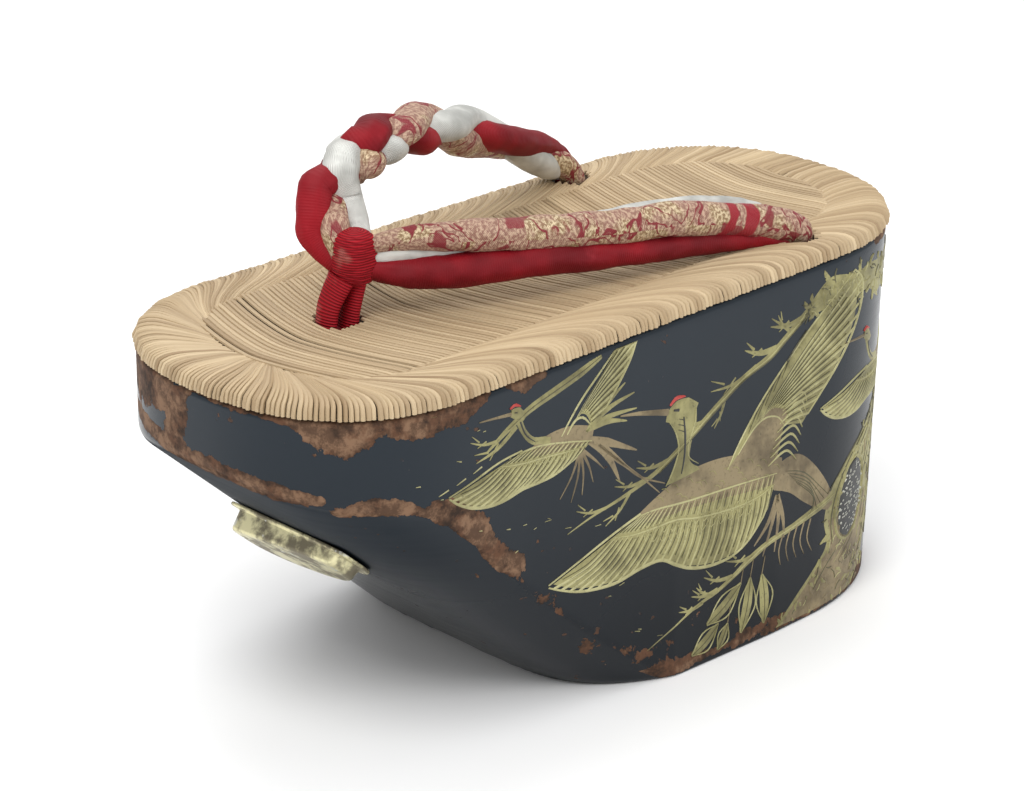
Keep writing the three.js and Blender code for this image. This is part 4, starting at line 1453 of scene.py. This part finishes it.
# %% The large crane
def large_crane(side=1, shift=(0, 0)):
    at = placed(shift)
    # the tail fans out dark behind the body
    patch("bronze", at((196, 50), (204, 51), (212, 46), (219, 38), (222, 31)),
          at((194, 41), (201, 38), (207, 34), (213, 31), (219, 29)), 0.5, side)
    strokes(at, side, [("shade", ((199 + k, 46 - k * 0.9), (208 + k * 0.9, 43 - k * 1.6),
                                  (219 - k * 1.6, 34 - k * 0.8)), (0.1, 0.35, 0.1), 1.2) for k in range(6)])
    strokes(at, side, [("bronze", ((196, 40), ((196 + end[0]) / 2 + 1, 33), end), (1.5, 1.2, 0.3), 0.6)
                       for end in ((196, 24), (191, 24), (187, 28), (200, 27))])
    # the raised wing
    wing(at((178, 56), (184, 61.5), (189, 63.5), (194, 62.5), (197, 59.5)),
         at((224, 96), (229, 91), (227.5, 82), (221, 73), (213, 65), (205, 58)), 13, 0.02, side, 0.12)
    bone = at((174, 53), (180, 61), (189, 70.5), (203, 82), (215, 90.5), (224, 96))
    patch("gold", bone, at((178, 56), (184, 61), (192, 67), (205, 78), (216, 88), (224, 95.5)),
          1.0, side, 5, 26)
    brush("pale", bone, (0.2, 0.4, 0.35, 0.2), 1.7, side)
    patch("bronze", at((173, 54), (177, 59), (182, 63.5), (188, 67)),
          at((196, 48), (197, 53), (198, 58), (200, 63)), 0.95, side, 8, 16)
    for k in range(8):
        low = Vector((191 + 0.8 * k, 49.5 + 2.15 * k))
        plume = at(low, low + Vector((7.5, 2.4)), low + Vector((12.2 - 0.35 * k, -1.2)))
        brush("pale", plume, (0.15, 0.5, 0.42, 0.12), 2.0, side)
    for k in range(5):
        low = Vector((182 + 3.2 * k, 61 + 3.0 * k))
        brush("shade", at(low, low + Vector((4, 6)), low + Vector((9.5, 11))), (0.1, 0.3, 0.1), 1.7, side)
    # the body, then the lower wing over it
    patch("bronze", at((138, 49.5), (147, 54), (157, 57.5), (170, 58), (184, 55.5), (197, 51)),
          at((138, 47), (148, 45.5), (160, 45), (174, 44), (186, 42.5), (197, 41)), 0.9, side, 10, 26)
    for k in range(26):
        start = Vector((146 + 1.9 * k, 52.6 + 3.0 * math.sin(k * 2.4) - 0.1 * k))
        down = at(start, start + Vector((1.6, -0.2)), start + Vector((2.6, -1.6)))
        brush("gold", down, (0.1, 0.24, 0.08), 1.5, side)
    wing(at((140, 49.5), (147, 49.5), (160, 48.5), (180, 47.5), (195, 46.5)),
         at((106.5, 38.5), (117, 34.5), (131, 33), (147, 35), (158, 30), (170, 27.5), (182, 29),
            (192, 37)), 27, 0.07, side, 0.3)
    brush("pale", at((140, 49.8), (130, 47), (118, 43), (106.5, 39.2)), (0.5, 0.4, 0.2), 1.9, side)
    scallops(at((142, 46.5), (152, 44.2), (162, 43.5), (174, 43.2), (186, 42.6)), (-0.6, -2.4), 13, 2, side)
    # the neck and the head
    patch("gold", at((148.5, 55), (151.5, 59), (153.5, 64), (152, 69), (148.6, 73)),
          at((165, 56.5), (159.5, 59.5), (159.5, 64.5), (161.5, 69), (161.8, 73.5)), 1.05, side, 6, 20)
    patch("gold", at((148.2, 73), (149, 76), (152.5, 78), (157, 77.5)),
          at((155, 70), (158, 70.5), (160.5, 72), (161.8, 74.5)), 1.1, side, 6, 12)
    strokes(at, side, (
        ("bronze", ((131.5, 78.8), (139, 77.6), (149.6, 75.2)), (0.25, 0.75, 1.25), 1.5),
        ("dark", ((155.5, 72.5), (156.3, 67), (156.2, 61.5), (155.2, 57)), (0.35, 0.75, 0.6, 0.25), 2.0),
        *(("dark", ((153.6, 72.4 - k * 1.5), (155.8, 71.6 - k * 1.6)), (0.1, 0.24), 2.0, 3, 0.8)
          for k in range(3)),
        ("dark", ((151.6, 75.2), (153.6, 74.8)), (0.45, 0.75), 2.1, 3, 0.8),
        ("vermilion", ((150.2, 76.8), (152.6, 78.2), (155.8, 78.0)), (0.3, 0.75, 0.3), 2.2, 3, 0.8),
        ("pale", ((149.4, 55), (152.2, 59), (154, 64), (152.6, 69), (149.4, 73)),
         (0.1, 0.3, 0.3, 0.1), 1.5),
        ("pale", ((162, 58), (158, 61), (158, 65), (160, 69.5), (160.2, 74)),
         (0.1, 0.34, 0.34, 0.1), 1.5),
    ))


# %% The small crane
def small_crane(side=1, shift=(0, 0), scale=1.0):
    at = placed(shift, scale, (105, 80))
    # legs and tail
    for end in ((136, 63), (132, 61), (138, 68)):
        brush("bronze", at((119, 76), (127, (78 + end[1]) / 2), end), (1.2, 1.9, 0.3), 0.6, side)
    for end in ((133, 87.5), (136.5, 84), (137.5, 79.5), (134, 77)):
        brush("gold", at((119, 78), (127, (79 + end[1]) / 2 + 0.6), end), (1.0, 1.1, 0.25), 1.0, side)
    for end in ((149, 56), (147, 54)):
        brush("bronze", at((124, 73), (133, 65.5), (140, 60), end), (0.8, 0.6, 0.45, 0.2), 1.1, side)
    for end in ((110, 62), (114, 60), (118, 61), (122, 63.5), (126, 66)):
        plume = at((117, 74), ((117 + end[0]) / 2 + 0.9, (73 + end[1]) / 2), end)
        brush("bronze", plume, (0.9, 0.5, 0.1), 0.9, side)
    # the raised wing, the body and the spread wing
    wing(at((112, 79), (115, 82), (118, 82), (120.5, 79.5)),
         at((131, 99), (137, 99.5), (134.5, 93), (129.5, 86.5), (124, 80.5)), 9, 0.02, side, 0.1)
    brush("pale", at((110, 79), (116.5, 86.5), (124, 93), (131, 99)), (0.25, 0.4, 0.2), 1.8, side)
    patch("bronze", at((99, 79), (106, 81.5), (114, 81.5), (122, 79)),
          at((100, 76), (107, 74), (115, 73.5), (121, 75)), 0.9, side)
    wing(at((95, 78.5), (103, 78.5), (112, 77), (121, 75)),
         at((71, 73), (77, 69), (87, 67), (97, 68.5), (107, 69), (116, 72)), 17, 0.06, side, 0.28)
    brush("pale", at((96, 79), (88, 78), (79, 75.5), (71, 73.4)), (0.35, 0.35, 0.15), 1.8, side)
    scallops(at((97, 76.4), (105, 75.2), (113, 74.4)), (-0.4, -2.0), 8, 1, side)
    # the neck and the head
    strokes(at, side, (
        ("gold", ((94.6, 88), (96.6, 84), (100, 80.6), (106, 79)), (1.5, 1.2, 1.3, 2.0), 1.2),
        ("dark", ((95.2, 87), (97.2, 83), (100.6, 80.2)), (0.5, 0.45, 0.15), 2.0),
        ("gold", ((92, 90), (94.4, 89.4), (96.8, 87.6)), (1.1, 2.1, 1.1), 1.3, 5),
        ("dark", ((93, 90), (94, 89.8)), (0.2, 0.35), 2.1, 3, 0.8),
        ("bronze", ((81, 90.6), (87, 90.2), (92.2, 89.8)), (0.2, 0.45, 0.7), 1.5),
        ("vermilion", ((91.6, 91.3), (93.4, 91.9), (95.2, 91.2)), (0.25, 0.6, 0.25), 2.2, 3, 0.8),
    ))


large_crane()
small_crane()
small_crane(shift=(139, -14), scale=0.92)
large_crane(side=-1, shift=(24, -2))
small_crane(side=-1, shift=(4, -1))

# %% [markdown]
# ### Pine branches and the old trunk
#
# The branch begins thick and mossy near the heel and thins toward the toe, with ragged twigs on
# both sides. The trunk below it has bark lines and one round, speckled knot hollow.


# %% Branch tools
def twig(side, start, end, thick):
    """A ragged side shoot with two short forks."""
    brush("gold", bowed(start, end, 0.08), (thick * 1.2, thick, thick * 0.7, 0.12), 0.9, side)
    way = end - start
    for share, lean in ((0.45, 0.3), (0.7, -0.32)):
        foot = start.lerp(end, share)
        fork = (foot, foot + way * 0.28 + Vector((-way.y, way.x)) * lean * 0.5)
        brush("gold", fork, (thick * 0.6, 0.12), 1.0, side, pitch=1.0)


DAB_WIDTHS = {"gold": 1.0, "bronze": 0.9, "shade": 0.34, "pale": 0.36}


def dabs(side, upper, lower, count, colours, size):
    """Short strokes at random between two lines of points, as moss and rough bark."""
    for k in range(count):
        at, rest = divmod(random.random() * (len(upper) - 1.01), 1)
        above, below = (line[int(at)].lerp(line[int(at) + 1], rest) for line in (upper, lower))
        start = above.lerp(below, random.random())
        turn, reach = random.uniform(0, 2 * math.pi), random.uniform(1.6, 4.2) * size
        tip = start + Vector((math.cos(turn), math.sin(turn))) * reach
        colour = random.choice(colours)
        thick = DAB_WIDTHS[colour] * size
        level = 1.3 + 0.5 * k / count
        brush(colour, bowed(start, tip, 0.14), (thick * 0.5, thick, 0.15), level, side, pitch=1.2)


def leaf(side, base, tip, half):
    widths = (0.5, half * 0.9, half * 1.05, half * 0.95, 0.5)
    brush("gold", bowed(base, tip, 0.05), widths, 0.9, side, 5)
    reach = half * 1.5 / (tip - base).length
    for lean, colour in ((0.05 + reach, "pale"), (0.05 - reach, "pale"), (0.05, "shade")):
        brush(colour, bowed(base, tip, lean), (0.1, 0.28, 0.1), 1.6, side)


def bark(side, left, right, belly, count, colour, thick):
    """Rough lines that follow a limb, between its two edges."""
    for k in range(count):
        share = (k + 0.5) / count
        line = [a.lerp(b, share + 0.05 * math.sin(7 * k + 3 * i))
                for i, (a, b) in enumerate(zip(left, right))]
        first = (k * 2) % max(len(line) - belly, 1)
        brush(colour, line[first:first + belly], (0.08, thick, thick, 0.08), 1.35, side)


# %% The pine
# start, end and thickness of each twig on the long limb
PINE_TWIGS = (
    ((203, 88), (189, 88.5), 1.1), ((192, 82), (179, 84.5), 1.2), ((184, 79), (166, 76.5), 0.8),
    ((172, 73.5), (168, 66), 0.8), ((163, 69), (155, 71), 0.7), ((150, 62), (138, 63), 0.8),
    ((142, 59), (130, 60), 0.7), ((136, 57), (127, 50), 0.7), ((127, 55), (116, 57), 0.6),
    ((198, 85), (192, 91), 0.8),
)


def pine(side=1, shift=(0, 0)):
    at = placed(shift)
    upper = at((203, 89), (208, 94), (213, 97), (219, 96.5), (224, 95), (231, 96.5), (241, 95.5),
               (252, 97), (262, 96.5))
    lower = at((205, 87.5), (211, 87.5), (218, 89), (225, 87), (232, 88), (240, 84.5), (246, 85),
               (254, 87), (262, 86))
    random.seed(21)
    patch("gold", upper, lower, 0.8, side, 9, 34)
    dabs(side, upper, lower, 120, ("gold", "gold", "gold", "shade", "pale"), 1.0)
    limb = at((210, 92), (203, 88), (196, 84), (189, 80), (179, 77), (170, 72.5), (158, 66), (146, 60),
              (134, 56.5), (122, 54), (113, 51.5))
    brush("gold", limb, (3.0, 1.9, 1.5, 1.7, 1.2, 1.4, 1.3, 1.1, 0.8, 0.5, 0.15), 0.8, side)
    brush("pale", limb[1:8], (0.12, 0.3, 0.25, 0.25, 0.1), 1.5, side)
    below = [point + Vector((0.6, -0.7)) for point in limb[1:8]]
    brush("shade", below, (0.1, 0.35, 0.25, 0.35, 0.1), 1.3, side)
    for start, end, thick in PINE_TWIGS:
        twig(side, *at(start, end), thick)
    bough = at((84, 82), (91, 86), (99, 89.5), (108, 92), (117, 94.5), (124, 97))
    brush("gold", bough, (0.5, 1.3, 1.7, 1.9, 1.9, 1.2), 0.8, side)
    brush("shade", bough[1:], (0.1, 0.3, 0.3, 0.1), 1.4, side)
    twig(side, *at((94, 86), (80, 80)), 0.9)
    twig(side, *at((88, 84), (78, 86)), 0.6)
    for k in range(3):
        fleck = at((82 - 5.5 * k, 78.6 - 1.6 * k), (79 - 5.5 * k, 77.6 - 1.6 * k))
        brush("pale", fleck, (0.35, 0.12), 0.9, side)


# %% The trunk with its knot hollow
KNOT_OVAL = {"girth": 231, "height": 29, "wide": 7.2, "tall": 10.8, "lean": 1.2}


def knot_spot(turn, reach=1.0, rim=0.0):
    """A point of the knot's leaning oval, at a share of the way out from its middle."""
    c, s = math.cos(turn), math.sin(turn)
    out = (KNOT_OVAL["wide"] + rim) * s + KNOT_OVAL["lean"] * c
    return KNOT_OVAL["girth"] + reach * out, KNOT_OVAL["height"] + reach * (KNOT_OVAL["tall"] + rim) * c


def knot_hollow(side, at):
    turns = [math.pi * k / 6 for k in range(7)]
    patch("dark", at(*[knot_spot(-t) for t in turns]), at(*[knot_spot(t) for t in turns]), 2.4, side, 8, 20)
    ring = at(*[knot_spot(math.pi * k / 10, rim=0.6) for k in range(21)])
    brush("gold", ring, (0.5, 0.8, 0.6, 0.8, 0.5), 2.6, side)
    random.seed(3)
    for _ in range(120):
        turn, reach = random.uniform(0, 2 * math.pi), math.sqrt(random.random()) * 0.9
        g, z = knot_spot(turn, reach)
        brush("white", at((g, z), (g + 0.5, z + 0.35)), (0.12, 0.28), 3.4, side, 2, 0.6)


TRUNK_TWIGS = (((190, 26), (175, 27)), ((178, 22), (166, 25)), ((172, 20), (161, 21)),
               ((166, 18), (156, 18)), ((170, 19), (163, 23)))
# foot, tip and half width of each leaf
LEAVES = (((182, 19), (168, 11), 2.3), ((186, 19.5), (183, 4.5), 2.4), ((191, 19), (193, 4.5), 2.4),
          ((173, 10), (162, 4), 2.0), ((177, 9), (173, 2.5), 1.7))


def trunk(side=1, shift=(0, 0)):
    at = placed(shift)
    left = at((252, 66), (245, 53), (234, 46), (225, 41), (218, 34), (216, 26), (218, 19), (212, 13),
              (205, 8), (196, 1.4))
    right = at((266, 72), (262, 60), (258, 50), (255, 42), (253, 34), (252, 26), (251, 18), (248, 11),
               (244, 6), (238, 1.4))
    middle = [a.lerp(b, 0.5) for a, b in zip(left, right)]
    patch("gold", left, right, 0.62, side, 14, 44)
    patch("bronze", [a.lerp(b, 0.08) for a, b in zip(left[5:], middle[5:])],
          [a.lerp(b, 0.1) for a, b in zip(right[5:], middle[5:])], 0.82, side, 12, 24)
    bark(side, left, right, 5, 10, "shade", 0.35)
    bark(side, left, right, 4, 7, "pale", 0.28)
    random.seed(33)
    dabs(side, [a.lerp(b, 0.06) for a, b in zip(left, right)], right, 230,
         ("gold", "gold", "bronze", "shade", "pale"), 0.9)
    knot_hollow(side, at)
    limb = at((222, 33), (214, 31), (204, 29), (194, 27.5), (186, 25), (179, 22), (172, 19.5),
              (163, 17.5), (152, 13.5), (144, 10.5))
    brush("gold", limb, (2.4, 1.9, 1.4, 1.3, 1.6, 1.1, 0.9, 0.6, 0.35, 0.12), 0.9, side)
    brush("pale", limb[:7], (0.1, 0.3, 0.3, 0.1), 1.6, side)
    for start, end in TRUNK_TWIGS:
        twig(side, *at(start, end), 0.8)
    for k in range(5):
        root = at((200 + 3 * k, 29), (198 + 3.2 * k, 24), (199 + 3.6 * k, 19.5))
        brush("bronze", root, (0.5, 0.35, 0.1), 1.0, side)
    for base, tip, half in LEAVES:
        brush("bronze", at((base[0] + 1, base[1] + 5), base), (0.15, 0.25), 1.0, side)
        leaf(side, *at(base, tip), half)


def stray_specks(side):
    """Gold dust that fell wide of the picture."""
    random.seed(8)
    for _ in range(22):
        girth = random.uniform(60, 150)
        low = wall_foot(*wall_line(girth)).z + 3
        spot = Vector((girth, random.uniform(low, low + 28)))
        end = spot + Vector((random.uniform(0.6, 2.4), random.uniform(-0.6, 0.4)))
        brush("pale", (spot, end), (0.12, random.uniform(0.15, 0.4)), 1.0, side, 2, 0.8)


pine()
trunk()
stray_specks(side=1)
pine(side=-1, shift=(22, -1))
trunk(side=-1, shift=(20, 0))

for colour, bm in picture.items():
    piece = finish_object(f"picture_{colour}", bm, 60)
    dress(piece, GOLDS[colour])
    print(piece.name, len(piece.data.polygons), "faces")

# %% [markdown]
# ## Floor and light
#
# A white sweep and broad soft lamps: the lacquer is a dark mirror, so what it shows is mostly the
# pale floor in front of it, darker near its foot where it mirrors its own shadow and where its
# black is also painted darker as painted shade.


# %% Set the stage
def soft_lamp(name, place, size, power, colour=(1, 1, 1)):
    lamp = bpy.data.lights.new(name, "AREA")
    lamp.shape, lamp.size, lamp.energy, lamp.color = "DISK", size, power, colour
    holder = bpy.data.objects.new(name, lamp)
    bpy.context.collection.objects.link(holder)
    holder.location = place
    holder.rotation_euler = (Vector((0, 0, 0.05)) - Vector(place)).to_track_quat("-Z", "Y").to_euler()


def set_stage():
    bm = bmesh.new()
    bmesh.ops.create_grid(bm, x_segments=1, y_segments=1, size=6)
    floor = finish_object("floor", bm)
    paint = Paint("white_sweep")
    white = paint.set(Base_Color=(0.93, 0.93, 0.93), Roughness=0.6, Specular_IOR_Level=0.2)
    floor.data.materials.append(white)
    world = bpy.data.worlds.new("studio")
    world.use_nodes = True
    background = world.node_tree.nodes["Background"]
    background.inputs["Color"].default_value = (1, 1, 1, 1)
    background.inputs["Strength"].default_value = 0.75
    bpy.context.scene.world = world
    soft_lamp("key", (0.35, -0.9, 1.5), 0.9, 14)
    soft_lamp("fill", (1.4, 0.5, 0.9), 0.8, 7)
    soft_lamp("top", (-0.6, 0.3, 1.4), 1.0, 8)
    bpy.context.scene.view_settings.view_transform = "Standard"


set_stage()
